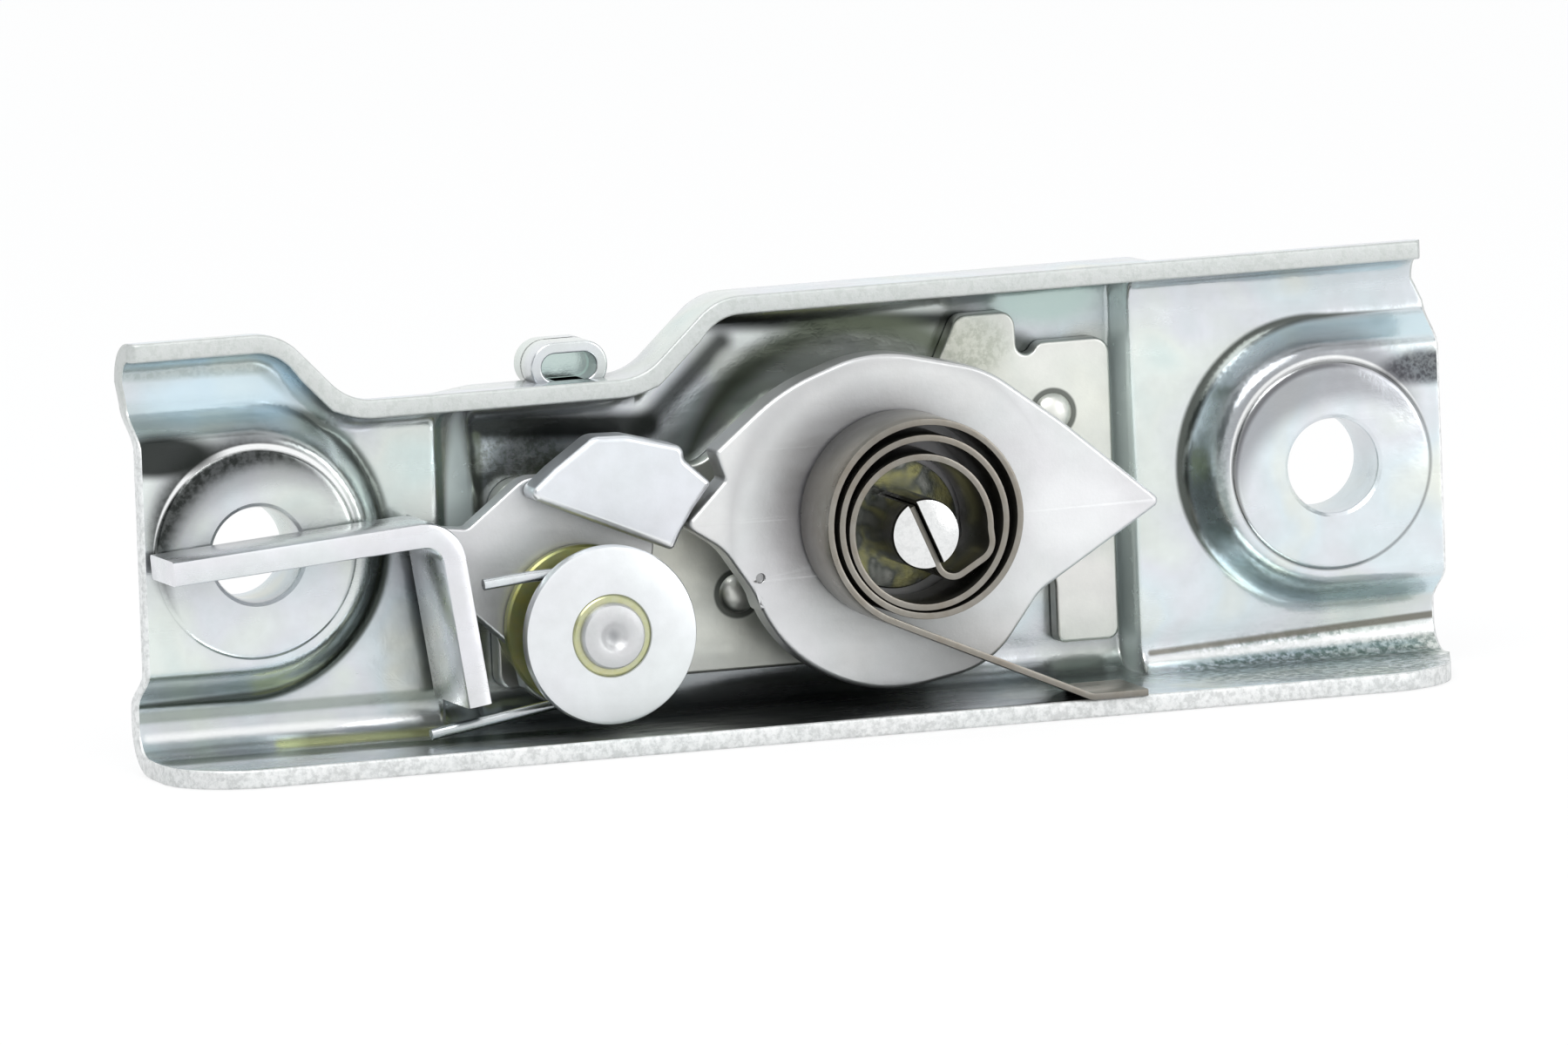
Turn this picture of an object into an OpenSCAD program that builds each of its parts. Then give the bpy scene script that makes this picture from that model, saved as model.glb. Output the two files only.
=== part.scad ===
// Bonnet lock: a pressed steel channel with a sprung rotor, a pawl that holds it, and two bolt seats.
// X runs along the channel, Y runs from the open front to the back wall, Z runs up to the top lip.
// Sizes are in millimetres. The lock stands on the flat underside of its lower flange.

/* [Case] */
// Length of the back wall
case_len = 131; // [124:1:138]
// Height over the top lip
case_h = 41.5; // [40:0.5:44]
// Thickness of the case sheet
case_t = 1.8; // [1.5:0.1:2]
// Depth of the lower flange in front of the back wall
flange_depth = 15.5; // [14.5:0.5:18]
// Inside bend radius above the lower flange
flange_bend_r = 2.8; // [2:0.1:3]
// Corner radius of the lower flange, left end
flange_corner_left = 8; // [4:0.5:9]
// Corner radius of the lower flange, right end
flange_corner_right = 9; // [4:0.5:10]
// How far the right end of the flange tapers in at its front
flange_taper = 4; // [0:0.5:6]
// Depth of the top lip in front of the back wall
lip_depth = 3.4; // [2.9:0.1:3.5]
// Inside bend radius under the top lip
lip_bend_r = 2.2; // [1.6:0.1:2.4]
// How far the top lip runs past the back wall at the left
lip_over = 0.4; // [0:0.1:2]
// How far the top lip stops short of the back wall at the right
lip_short = 1.1; // [0:0.1:3]

/* [Dip in the top edge] */
// Height of the lip in the dip
dip_h = 34.4; // [33.5:0.1:36]
// Where the left plateau ends
dip_x1 = 14.7; // [12:0.1:16]
// Where the dip starts
dip_x2 = 21.4; // [20:0.1:23]
// Where the dip ends
dip_x3 = 50.8; // [49:0.1:52]
// Where the right plateau starts
dip_x4 = 58.5; // [57:0.1:61]
// Corner radius of the top outline
dip_corner_r = 6; // [5:0.5:7]

/* [Recess] */
// Depth of the recess in the back wall
recess_depth = 4; // [3.4:0.1:4.4]
// Where the left slope of the recess starts
recess_x1 = 30.6; // [29:0.1:32]
// Length of the left slope
recess_slope_left = 5.1; // [3:0.1:6]
// Where the right wall of the recess ends
recess_x4 = 101; // [100.8:0.1:103]
// Length of the steep right wall along X
recess_slope_right = 0.6; // [0.3:0.1:1]

/* [Bolt seats] */
// Distance of each bolt hole from its end of the wall
seat_end = 11.3; // [10.5:0.1:12.5]
// Height of the bolt holes
seat_z = 20.7; // [20:0.1:21.5]
// Radius of the embossed seat at its foot
seat_foot_r = 14.4; // [13:0.1:14.8]
// Radius of the embossed seat at its top
seat_top_r = 10.6; // [10.4:0.1:11.4]
// Height of the embossed seat
seat_h = 3.8; // [3:0.1:4]
// Radius of the flat face round the bolt hole
seat_face_r = 9.9; // [9:0.1:10.2]
// Height of that face above the seat
seat_face_h = 0.6; // [0.3:0.1:0.8]
// Radius of the bolt hole
bolt_r = 4.5; // [4:0.1:5]
// Radius of the collar behind the bolt hole
collar_r = 6.3; // [5.8:0.1:7]
// Length of the bolt hole through its collar
collar_len = 6.8; // [5:0.1:7]

/* [Cable eye] */
// Where the eye starts on the lip
eye_x = 40.5; // [38:0.1:42]
// Width of the eye
eye_w = 7.7; // [7:0.1:9]
// Height of the eye above the lip
eye_h = 3.7; // [3.2:0.1:5]
// Wall of the eye
eye_wall = 1.1; // [0.8:0.1:1.3]
// Length of the eye from front to back
eye_len = 6.5; // [5:0.1:7]

/* [Bearing plate] */
// Thickness of the bearing plate
plate_t = 2; // [1.6:0.1:2.4]
// Left end of the bearing plate
plate_x1 = 37; // [36.6:0.1:39]
// Gap between the bearing plate and the right wall of the recess
plate_gap = 0.7; // [0.5:0.1:1.5]
// Lower edge of the bearing plate
plate_z1 = 4.9; // [4.7:0.1:6]
// Upper edge of the bearing plate at its right
plate_z2 = 34; // [32:0.1:34.6]
// Upper edge of the bearing plate behind the pawl
plate_z3 = 25; // [22:0.1:27]
// Shank radius of the plate rivets
rivet_r = 1.3; // [1:0.1:1.5]
// Head radius of the plate rivets
rivet_head_r = 1.9; // [1.6:0.1:2.2]
// Head height of the plate rivets
rivet_head_h = 0.9; // [0.6:0.1:1.1]

/* [Rotor] */
// Pivot of the rotor along X
rotor_x = 74; // [73.5:0.1:74.5]
// Pivot of the rotor along Z
rotor_z = 19.1; // [18.9:0.1:19.6]
// Thickness of the rotor
rotor_t = 3.5; // [3:0.1:3.6]
// Gap between the top lip and the plane behind the rotor
rotor_gap = 0.6; // [0.4:0.1:1]
// Radius of the round part of the rotor
rotor_r = 15.8; // [15:0.1:16]
// Reach of the beak from the pivot
beak_reach = 27.2; // [26:0.1:28]
// Reach of the claw above the tooth
claw_reach = 18.9; // [18.5:0.1:19]
// Reach of the lobe below the tooth
lobe_reach = 21; // [20:0.1:21.2]
// Depth of the notch, from the lobe's reach
notch_depth = 3.4; // [3.2:0.1:3.8]

/* [Rotor shaft] */
// Radius of the slotted front end
shaft_r = 3.4; // [3.1:0.1:3.6]
// Radius of the seat in the rotor
shaft_seat_r = 4; // [3.8:0.1:4.3]
// Radius of the journal
journal_r = 4.4; // [4.1:0.1:4.8]
// Radial running clearance of the journal
run_gap = 0.05; // [0.02:0.01:0.09]
// Wall of the bearing bush
bush_wall = 2.2; // [1.5:0.1:3]
// Radius of the hub collar in front of the rotor
hub_r = 6.2; // [5:0.1:6.4]
// Length of the hub collar
hub_len = 0.4; // [0.2:0.1:0.5]
// Width of the slot for the spring
slot_w = 0.9; // [0.8:0.1:1.1]
// Length by which the shaft stands out of the spring
shaft_stand = 0.8; // [0.3:0.1:1]
// Room between the spring and the floor of the slot
slot_floor = 0.1; // [0.05:0.05:0.2]
// Angle of the slot from the upright
slot_angle = 23; // [15:1:30]
// Thickness of the rear shaft washer
rear_washer_t = 1.2; // [0.8:0.1:1.6]
// Radius of the rear shaft washer
rear_washer_r = 8; // [7:0.1:9]

/* [Spiral spring] */
// Thickness of the spring strip
strip_t = 0.65; // [0.4:0.05:0.7]
// Width of the spring strip
strip_w = 8; // [7:0.1:8.2]
// Radius of the outermost turn
coil_r = 10.1; // [9.8:0.1:10.2]
// Distance from turn to turn
coil_pitch = 1.25; // [1.2:0.05:1.3]
// How far the outer turn lies to the right of the shaft
coil_side = 0.6; // [0:0.1:0.8]
// How far the outer turn lies above the shaft
coil_rise = 1.1; // [0:0.1:1.1]
// Number of turns, less the part between the leg and the inner tail
coil_whole_turns = 3; // [3:1:3]
// Gap between the rotor and the spring
spring_gap = 0.5; // [0.5:0.1:1]
// Where the spring foot meets the flange
foot_x = 90.4; // [89:0.1:92]
// Length of the flat spring foot
foot_len = 5.6; // [4:0.1:6.5]

/* [Pawl] */
// Pivot of the pawl along X
pawl_x = 43.4; // [43:0.1:43.6]
// Pivot of the pawl along Z
pawl_z = 11.4; // [11.2:0.1:11.8]
// Thickness of the pawl lever
lever_t = 2.4; // [2:0.1:2.6]
// Radius of the lever round its pivot
lever_hub_r = 8; // [7:0.1:8.6]
// How far the bent strip stands in front of the lever
strip_out = 8.2; // [7.6:0.1:8.6]
// Drop of the leg of the bent strip
leg_drop = 15; // [13:0.1:15.2]
// Left end of the release arm
arm_x = 0.4; // [-0.3:0.1:1]
// Gap between the bolt seat and the release arm
arm_gap = 0.6; // [0.4:0.1:1]
// Radius of the tooth rivets
tooth_rivet_r = 1.2; // [0.9:0.1:1.4]

/* [Pawl pivot] */
// Radius of the pivot rivet
pin_r = 2.6; // [2.3:0.1:2.9]
// Radius of the pivot bush
pawl_bush_r = 3.9; // [3.6:0.1:4.4]
// Radius of the flange of the pivot bush
bush_flange_r = 7.8; // [6:0.1:8]
// Thickness of that flange
bush_flange_t = 1.3; // [1:0.1:1.6]
// Radius of the spacer behind the lever
spacer_r = 6.5; // [5.5:0.1:7]
// Radius of the front washer
pawl_washer_r = 8.6; // [8:0.1:9]
// Thickness of the front washer
pawl_washer_t = 1.3; // [1:0.1:1.6]
// Radius of the rivet head
pin_head_r = 3.2; // [3:0.1:3.5]
// Height of the rivet head
pin_head_h = 0.9; // [0.6:0.1:1.2]
// Wire radius of the pawl spring
wire_r = 0.55; // [0.45:0.05:0.6]
// Coil radius of the pawl spring
wire_coil_r = 6.2; // [5.8:0.1:6.5]
// Turns of the pawl spring
wire_turns = 2; // [1:1:3]

/* [Hidden] */

$fn = 64;
eps = 0.01;
far = 400;
grain = 0.00001;
hull_fn = 32;

// Colours as the photograph shows them.
zinc = [0.78, 0.82, 0.84];
cream = [0.84, 0.85, 0.78];
pale = [0.86, 0.87, 0.9];
olive = [0.68, 0.68, 0.3];
strip_tan = [0.6, 0.56, 0.52];

// Heights and depths that follow from the sizes above.
bend_out_r = case_t + flange_bend_r;
lip_out_r = case_t + lip_bend_r;
recess_x2 = recess_x1 + recess_slope_left;
recess_x3 = recess_x4 - recess_slope_right;
floor_back = recess_depth + case_t;
plate_front = recess_depth - plate_t;
rotor_back = -lip_depth - rotor_gap;
rotor_front = rotor_back - rotor_t;
spring_back = rotor_front - spring_gap;
spring_front = spring_back - strip_w;
shaft_front = spring_front - shaft_stand;
slot_depth = strip_w + shaft_stand + slot_floor;
lever_front = rotor_back + 0.1;
lever_back = lever_front + lever_t;
tooth_front = rotor_front;
coil_back = tooth_front - 0.4;
washer_back = lever_front - strip_out + 0.3;
washer_front = washer_back - pawl_washer_t;
pin_front = washer_front - pin_head_h;
rear_face = floor_back;
shaft_washer_back = rear_face + 0.2 + rear_washer_t;
shaft_rear = shaft_washer_back + 0.8;
front_y = min(shaft_front, pin_front, -flange_depth);

// The whole lock is set so that its origin is at the middle of its base.
module place()
    translate([-(case_len - lip_over) / 2, -(front_y + shaft_rear) / 2, 0])
        children();

// Shape functions: paths with round corners and offset paths.
function unit(v) = v / norm(v);
function turn(v) = [-v.y, v.x];
function heading(a, b) = atan2(b.y - a.y, b.x - a.x);
function tidy(p) = [for (v = p) round(v / grain) * grain];
function rev(p) = [for (i = [len(p) - 1:-1:0]) p[i]];

// Points of the arc that rounds corner b of the path a, b, c by radius r.
function arc_at(a, b, c, r, n) =
    let (u = unit(a - b), v = unit(c - b))
    let (half = acos(u * v) / 2)
    let (centre = b + unit(u + v) * r / sin(half))
    let (p = b + u * r / tan(half), q = b + v * r / tan(half))
    let (start = heading(centre, p), sweep_raw = heading(centre, q) - start)
    let (sweep = sweep_raw > 180 ? sweep_raw - 360 : sweep_raw < -180 ? sweep_raw + 360 : sweep_raw)
    [for (i = [0:n]) tidy(centre + r * [cos(start + sweep * i / n), sin(start + sweep * i / n)])];

// Closed outline of points [x, y, radius] with every corner rounded.
function rounded(pts, n = 8) = [
    for (i = [0:len(pts) - 1])
        let (a = pts[(i + len(pts) - 1) % len(pts)], b = pts[i], c = pts[(i + 1) % len(pts)])
        each b[2] == 0 ? [[b.x, b.y]] : arc_at([a.x, a.y], [b.x, b.y], [c.x, c.y], b[2], n)];

// Point on a circle about the pivot of the rotor or the pawl.
function polar(centre, r, a) = [centre.x + r * cos(a), centre.y + r * sin(a)];

// Draws a flat outline of X and Z, and gives it a thickness from y0 to y1.
module slab(y0, y1)
    translate([0, y1, 0])
        rotate([90, 0, 0])
            linear_extrude(y1 - y0)
                children();

// A round bar along Y from y0 to y1.
module bar(r, y0, y1)
    translate([0, y1, 0])
        rotate([90, 0, 0])
            cylinder(r = r, h = y1 - y0);

// Turns a profile of radius and depth about an axis along Y.
module turned()
    rotate([90, 0, 0])
        rotate_extrude()
            children();

// Case: the plan of the back wall, which steps back at the recess.
plan = [[0, 0], [recess_x1, 0], [recess_x2, recess_depth], [recess_x3, recess_depth], [recess_x4, 0],
    [case_len, 0]];
last_run = len(plan) - 2;
function run_angle(i) = i < 0 ? 0 : i > last_run ? 0 : heading(plan[i], plan[i + 1]);
function mitre(i) = (run_angle(i - 1) + run_angle(i)) / 2;
function plan_at(i, d) =
    plan[i] + d / cos((run_angle(i) - run_angle(i - 1)) / 2) * [-sin(mitre(i)), cos(mitre(i))];

// The top outline: plateau, dip and plateau.
top = [[-lip_over, case_h], [dip_x1, case_h], [dip_x2, dip_h], [dip_x3, dip_h], [dip_x4, case_h],
    [case_len - lip_short, case_h]];
function slope(i) = heading(top[i], top[i + 1]);
function bends_down(i) = slope(i) < slope(i - 1);
function corner_turn(i) = abs(slope(i) - slope(i - 1));
function cut_back(i) = i == 0 || i == len(top) - 1 ? 0 : dip_corner_r * tan(corner_turn(i) / 2);
function run_end(i) = top[i + 1] - unit(top[i + 1] - top[i]) * cut_back(i + 1);
function corner_centre(i) =
    run_end(i - 1) + turn(unit(top[i] - top[i - 1])) * dip_corner_r * (bends_down(i) ? -1 : 1);

// Bend between two plates: x is depth, y is height, the outer corner is at [case_t, 0].
bend_steps = 8;
function quarter(centre, r) = [for (k = [0:bend_steps])
    centre + r * [sin(90 * k / bend_steps), -cos(90 * k / bend_steps)]];
function bend_points(r, out, stub) = concat([[-out, case_t], [-out, 0]],
    quarter([-r, case_t + r], case_t + r),
    [[case_t, case_t + r + stub], [0, case_t + r + stub]],
    rev(quarter([-r, case_t + r], r)));
// Section of the whole channel, in two parts: the lip and the wall under it hang from the outline,
// the lower bend and the flange stand on the base. Each point is a depth and a distance.
lip_part = bend_points(lip_bend_r, lip_depth, 1);
flange_part = bend_points(flange_bend_r, flange_depth, 1);
half = bend_steps + 4;
full = 2 * bend_steps + 5;
lip_outer = [for (k = [0:half - 1]) lip_part[k]];
lip_inner = [for (k = [half:full]) lip_part[k]];
flange_outer = rev([for (k = [0:half - 1]) flange_part[k]]);
flange_inner = rev([for (k = [half:full]) flange_part[k]]);
hang = lip_out_r + 1;
function front_of(q) = q.x < -lip_depth + eps && q.x > -lip_depth - eps || q.x < -flange_depth + eps;
function depth_at(q, wall_y) = front_of(q) ? q.x : wall_y + q.x;

// Ring at a point of the outline, where down is the way into the sheet.
function sheet_ring(p, down, wall_y) =
    let (foot_x = p.x + down.x * hang)
    concat(
        [for (q = lip_outer) [p.x + down.x * q.y, depth_at(q, wall_y), p.y + down.y * q.y]],
        [for (q = flange_outer) [foot_x, depth_at(q, wall_y), q.y]],
        [for (q = flange_inner) [foot_x, depth_at(q, wall_y), q.y]],
        [for (q = lip_inner) [p.x + down.x * q.y, depth_at(q, wall_y), p.y + down.y * q.y]]);

// Rings round a corner of the outline.
function corner_rings(i, wall_y) =
    let (side = bends_down(i) ? 1 : -1, a0 = slope(i - 1) + 90 * side, a1 = slope(i) + 90 * side)
    [for (k = [0:6])
        let (out = [cos(a0 + (a1 - a0) * k / 6), sin(a0 + (a1 - a0) * k / 6)])
        sheet_ring(corner_centre(i) + dip_corner_r * out, -side * out, wall_y)];

// Ring at a corner of the plan, cut along its mitre.
function mitre_point(i, q) = plan_at(i, front_of(q) ? q.x - plan[i].y : q.x);
function joggle_ring(i, z) = concat(
    [for (q = lip_outer) [each mitre_point(i, q), z - q.y]],
    [for (q = flange_outer) [each mitre_point(i, q), q.y]],
    [for (q = flange_inner) [each mitre_point(i, q), q.y]],
    [for (q = lip_inner) [each mitre_point(i, q), z - q.y]]);

// Closed solid through a list of rings, each clockwise seen from its far end.
module skin(rings) {
    n = len(rings[0]);
    last = (len(rings) - 1) * n;
    sides = [for (i = [0:len(rings) - 2], k = [0:n - 1])
        let (a = i * n, b = (k + 1) % n)
        [a + k, a + b, a + n + b, a + n + k]];
    first_cap = [for (k = [n - 1:-1:0]) k];
    last_cap = [for (k = [0:n - 1]) last + k];
    polyhedron([for (r = rings) each r], concat(sides, [first_cap, last_cap]));
}

// The bent sheet: wall, top lip and lower flange, longer than it ends up at both ends.
module sheet()
    skin(concat(
        [sheet_ring([-lip_over, case_h], [0, -1], 0)],
        corner_rings(1, 0),
        corner_rings(2, 0),
        [joggle_ring(1, dip_h), joggle_ring(2, dip_h)],
        corner_rings(3, recess_depth),
        corner_rings(4, recess_depth),
        [joggle_ring(3, case_h), joggle_ring(4, case_h)],
        [sheet_ring([case_len + 1, case_h], [0, -1], 0)]));

// What is cut off the ends of the wall, the lip and the flange.
module end_cuts() {
    translate([-far, -far / 2, case_h - lip_out_r - far])
        cube(far);
    translate([case_len, -far / 2, -far / 2])
        cube(far);
    translate([case_len - lip_short, -far / 2, case_h - lip_out_r])
        cube(far);
    translate([0, 0, -far / 2])
        linear_extrude(far)
            flange_offcut();
}

// What is cut off the front corners of the flange.
module flange_offcut()
    difference() {
        translate([-far / 2, -lip_depth - 0.4 - far])
            square([2 * far, far]);
        polygon(concat([[case_len, 0], [0, 0]],
            arc_at([0, 0], [0, -flange_depth], [case_len, -flange_depth], flange_corner_left, 8),
            arc_at([0, -flange_depth], [case_len - flange_taper, -flange_depth],
                [case_len, -lip_depth - 0.4], flange_corner_right, 8),
            [[case_len, -lip_depth - 0.4]]));
    }

// S-curve of the embossed seat wall: height at a share s of its width.
function seat_rise(s) = (1 - cos(180 * s)) / 2;
seat_steps = 10;

// Half section of the seat: lift moves its wall inwards, drop lowers its face, base is its bottom.
function seat_section(base, lift, drop) = concat(
    [[0, base], [seat_foot_r - lift, base]],
    [for (k = [0:seat_steps])
        [seat_foot_r - lift - (seat_foot_r - seat_top_r) * k / seat_steps,
            seat_h * seat_rise(k / seat_steps) - drop]],
    [[0, seat_h - drop]]);

// Solid of the seat: a round half and a straight half that runs out past the end of the wall.
module seat_solid(base, lift, drop, end_dir) {
    turned()
        polygon(seat_section(base, lift, drop));
    rotate([0, end_dir * 90, 0])
        linear_extrude(seat_foot_r + 1)
            for (side = [0, 1])
                mirror([side, 0])
                    mirror([0, 1])
                        polygon(seat_section(base, lift, drop));
}

module seat_places()
    for (side = [0, 1])
        translate([side == 0 ? seat_end : case_len - seat_end, 0, seat_z])
            seat_one(side == 0 ? -1 : 1)
                children();

module seat_one(end_dir) {
    $end_dir = end_dir;
    children();
}

module seat_body() {
    seat_solid(-case_t / 2, 0, 0, $end_dir);
    bar(seat_face_r, seat_front, -seat_h + 0.5);
    bar(collar_r, seat_front + case_t, seat_front + collar_len);
}

seat_lean = case_t * tan(atan2(seat_h, seat_foot_r - seat_top_r) / 2);
seat_front = -seat_h - seat_face_h;

// The rolled cable eye on the lip.
module cable_eye()
    translate([eye_x, 0, dip_h - eye_wall])
        difference() {
            slab(floor_back - eye_len, floor_back - 0.5)
                eye_outline(0);
            slab(floor_back - far / 2, floor_back + far / 2)
                eye_outline(eye_wall);
        }

module eye_outline(inset) {
    r = (eye_h + eye_wall) / 2;
    for (x = [r, eye_w - r])
        translate([x, r])
            circle(r = r - inset);
    translate([r, inset])
        square([eye_w - 2 * r, 2 * (r - inset)]);
}

module rotor_bore_case()
    translate([rotor_x, 0, rotor_z])
        bar(journal_r + run_gap, 0, far / 4);

module case()
    color(zinc)
        place()
            difference() {
                union() {
                    sheet();
                    cable_eye();
                    seat_places()
                        seat_body();
                }
                seat_places()
                    difference() {
                        seat_solid(-far / 20, seat_lean, case_t, $end_dir);
                        bar(collar_r, -far / 4, seat_front + collar_len);
                    }
                end_cuts();
                seat_places()
                    bar(bolt_r, -far / 4, far / 4);
                rotor_bore_case();
                translate([pawl_x, 0, pawl_z])
                    bar(pin_r, 0, far / 4);
                rivet_places()
                    bar(rivet_r, 0, far / 4);
                spring_notch();
            }

// Notch in the flange edge that takes the hook of the spiral spring.
notch_w = 1.2;
notch_gap = 0.4;
module spring_notch()
    translate([foot_x + foot_len - notch_w / 2, -flange_depth - eps, -eps])
        cube([notch_w, flange_depth + spring_front + hook_w + notch_gap, case_t + 2 * eps]);

// Bearing plate: carries the rotor bush and the pawl pivot.
plate_x2 = recess_x3 - plate_gap;
rivet_a = [61.3, 12.3];
rivet_b = [93.7, 27.1];
module rivet_places()
    for (p = [rivet_a, rivet_b])
        translate([p.x, 0, p.y])
            children();

foot_left = plate_x2 - 6.3;
tab_x1 = 84.4;
tab_x2 = 90.2;
tab_top = case_h - case_t - lip_bend_r - 0.3;
module bearing_plate()
    color(cream)
        place()
            difference() {
                slab(plate_front, recess_depth)
                    polygon(rounded([
                        [plate_x1, plate_z1, 1.5],
                        [82, plate_z1, 2],
                        [87.5, 12, 2],
                        [foot_left, 12, 1.5],
                        [foot_left, plate_z1, 0.8],
                        [plate_x2, plate_z1, 1.2],
                        [plate_x2, plate_z2, 1.6],
                        [92.6, plate_z2, 1.2],
                        [tab_x2 + 0.2, 31, 1],
                        [tab_x2, tab_top, 1.5],
                        [tab_x1, tab_top, 1.5],
                        [tab_x1 - 3, 31, 2],
                        [66, 31, 3],
                        [58, plate_z3, 3],
                        [plate_x1, plate_z3, 3]]));
                translate([rotor_x, 0, rotor_z])
                    bar(journal_r + run_gap + bush_wall, 0, far / 4);
                translate([pawl_x, 0, pawl_z])
                    bar(pin_r, 0, far / 4);
                rivet_places()
                    bar(rivet_r, 0, far / 4);
            }

// Domed rivet through the bearing plate and the back wall.
module plate_rivet(p)
    color(cream)
        place()
            translate([p.x, 0, p.y]) {
                bar(rivet_r, plate_front, floor_back);
                translate([0, plate_front, 0])
                    dome();
                translate([0, floor_back, 0])
                    rotate([0, 0, 180])
                        dome();
            }

module dome()
    turned()
        intersection() {
            translate([0, -dome_r + rivet_head_h])
                circle(r = dome_r);
            square([rivet_head_r, rivet_head_h]);
        }
dome_r = (rivet_head_r * rivet_head_r + rivet_head_h * rivet_head_h) / (2 * rivet_head_h);

module plate_rivet_left() plate_rivet(rivet_a);
module plate_rivet_right() plate_rivet(rivet_b);

// Rotor: a round body with a beak at the right and a notch for the pawl tooth at the left.
rotor_c = [rotor_x, rotor_z];
function rim(a, r) = [each polar(rotor_c, rotor_r, a), r];
function at(r, a, round_r) = [each polar(rotor_c, r, a), round_r];
rotor_outline = rounded([
    at(beak_reach, 0, 0.7),
    at(20.6, 26, 14),
    at(rotor_r * 1.09, 55, 12),
    at(rotor_r * 1.07, 95, 14),
    at(rotor_r * 1.1, 128, 20),
    at(claw_reach + 0.5, 155, 0.5),
    at(claw_reach, 156.8, 0.5),
    at(lobe_reach - notch_depth, 161.8, 0.5),
    at(lobe_reach, 176.5, 0.8),
    at(17.2, 184, 6),
    at(15.2, 203, 10),
    at(rotor_r * 1.06, 222, 14),
    at(rotor_r * 1.06, 262, 15),
    at(rotor_r * 1.09, 303, 9),
    at(16.4, 332, 5)], 6);

module rotor()
    color(pale)
        place()
            difference() {
                slab(rotor_back - rotor_t, rotor_back)
                    polygon(rotor_outline);
                translate([rotor_x, 0, rotor_z])
                    bar(shaft_seat_r, -far / 4, far / 4);
                translate([rotor_x - 13.6, 0, rotor_z - 4.2])
                    bar(0.5, rotor_front - eps, rotor_front + 0.6);
            }

module rotor_shaft()
    color(pale)
        place()
            translate([rotor_x, 0, rotor_z])
                difference() {
                    union() {
                        bar(shaft_r, shaft_front, rotor_front + eps);
                        bar(shaft_seat_r, rotor_front, rotor_back);
                        bar(journal_r, rotor_back, rear_face + 0.2);
                        bar(shaft_r, rear_face, shaft_washer_back);
                        bar(shaft_r + 1.2, shaft_washer_back, shaft_rear);
                    }
                    rotate([0, -slot_angle, 0])
                        translate([-slot_w / 2, shaft_front - eps, -far / 2])
                            cube([slot_w, slot_depth, far]);
                }

module rotor_bush()
    color(olive)
        place()
            translate([rotor_x, 0, rotor_z])
                difference() {
                    union() {
                        bar(journal_r + run_gap + bush_wall, plate_front, recess_depth);
                        bar(journal_r + run_gap + bush_wall + 1.6, rotor_back + 0.2, plate_front);
                    }
                    bar(journal_r + run_gap, -far / 4, far / 4);
                }

module hub_collar()
    color(olive)
        place()
            translate([rotor_x, 0, rotor_z])
                difference() {
                    bar(hub_r, rotor_front - hub_len, rotor_front);
                    bar(shaft_r, -far / 4, far / 4);
                }

module shaft_washer()
    color(zinc)
        place()
            translate([rotor_x, 0, rotor_z])
                difference() {
                    bar(rear_washer_r, shaft_washer_back - rear_washer_t, shaft_washer_back);
                    bar(shaft_r, 0, far / 4);
                }

// Spiral spring: slot end, inward bend, turns, straight leg, flat foot and hook.
leg_angle = -22.4;
leg_start = leg_angle - 90;
tail_angle = -25;
coil_turns = coil_whole_turns - (tail_angle - leg_start) / 360;
inner_end = leg_start - 360 * coil_turns;
coil_inner_r = coil_r - coil_pitch * coil_turns;
function coil_share(a) = (leg_start - a) / (360 * coil_turns);
function coil_centre(a) = rotor_c + [coil_side, coil_rise] * (1 - pow(coil_share(a), 2));
function coil_point(a) = polar(coil_centre(a), coil_r - coil_pitch * (leg_start - a) / 360, a);
spiral_steps = 66;
foot_z = case_t + strip_t / 2 + 0.05;
slot_dir = [sin(-slot_angle), cos(slot_angle)];
slot_tip = rotor_c + slot_dir * (shaft_r - 0.6);
tail_corner = rotor_c - slot_dir * 5.5;
tail_sweep = 24;
tail_join = coil_point(inner_end) + (coil_point(inner_end) - tail_corner) * 0.25;
spring_path = concat(
    [slot_tip],
    arc_at(slot_tip, tail_corner, tail_join, 1.6, 5),
    arc_at(tail_corner, tail_join, coil_point(inner_end + tail_sweep), 2, 4),
    [for (k = [0:spiral_steps])
        coil_point(inner_end + tail_sweep + (leg_start - inner_end - tail_sweep) * k / spiral_steps)],
    [[foot_x, foot_z], [foot_x + foot_len, foot_z]]);
hook_w = 3;
hook_z = 0.3;
hook_path = [[foot_x + foot_len - 1, foot_z], [foot_x + foot_len, foot_z], [foot_x + foot_len, hook_z]];

// A strip of even thickness along a path.
function side_point(p, i, d) =
    let (a = i == 0 ? heading(p[0], p[1]) : heading(p[i - 1], p[i]))
    let (b = i == len(p) - 1 ? a : heading(p[i], p[i + 1]))
    let (gap_raw = b - a)
    let (gap = gap_raw > 180 ? gap_raw - 360 : gap_raw < -180 ? gap_raw + 360 : gap_raw)
    p[i] + d / cos(gap / 2) * [-sin(a + gap / 2), cos(a + gap / 2)];
function ribbon(p, t) = concat(
    [for (i = [0:len(p) - 1]) side_point(p, i, t / 2)],
    [for (i = [len(p) - 1:-1:0]) side_point(p, i, -t / 2)]);

module spiral_spring()
    color(strip_tan)
        place()
            union() {
                slab(spring_front, spring_back)
                    polygon(ribbon(spring_path, strip_t));
                slab(spring_front, spring_front + hook_w)
                    polygon(ribbon(hook_path, strip_t));
            }

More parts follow.
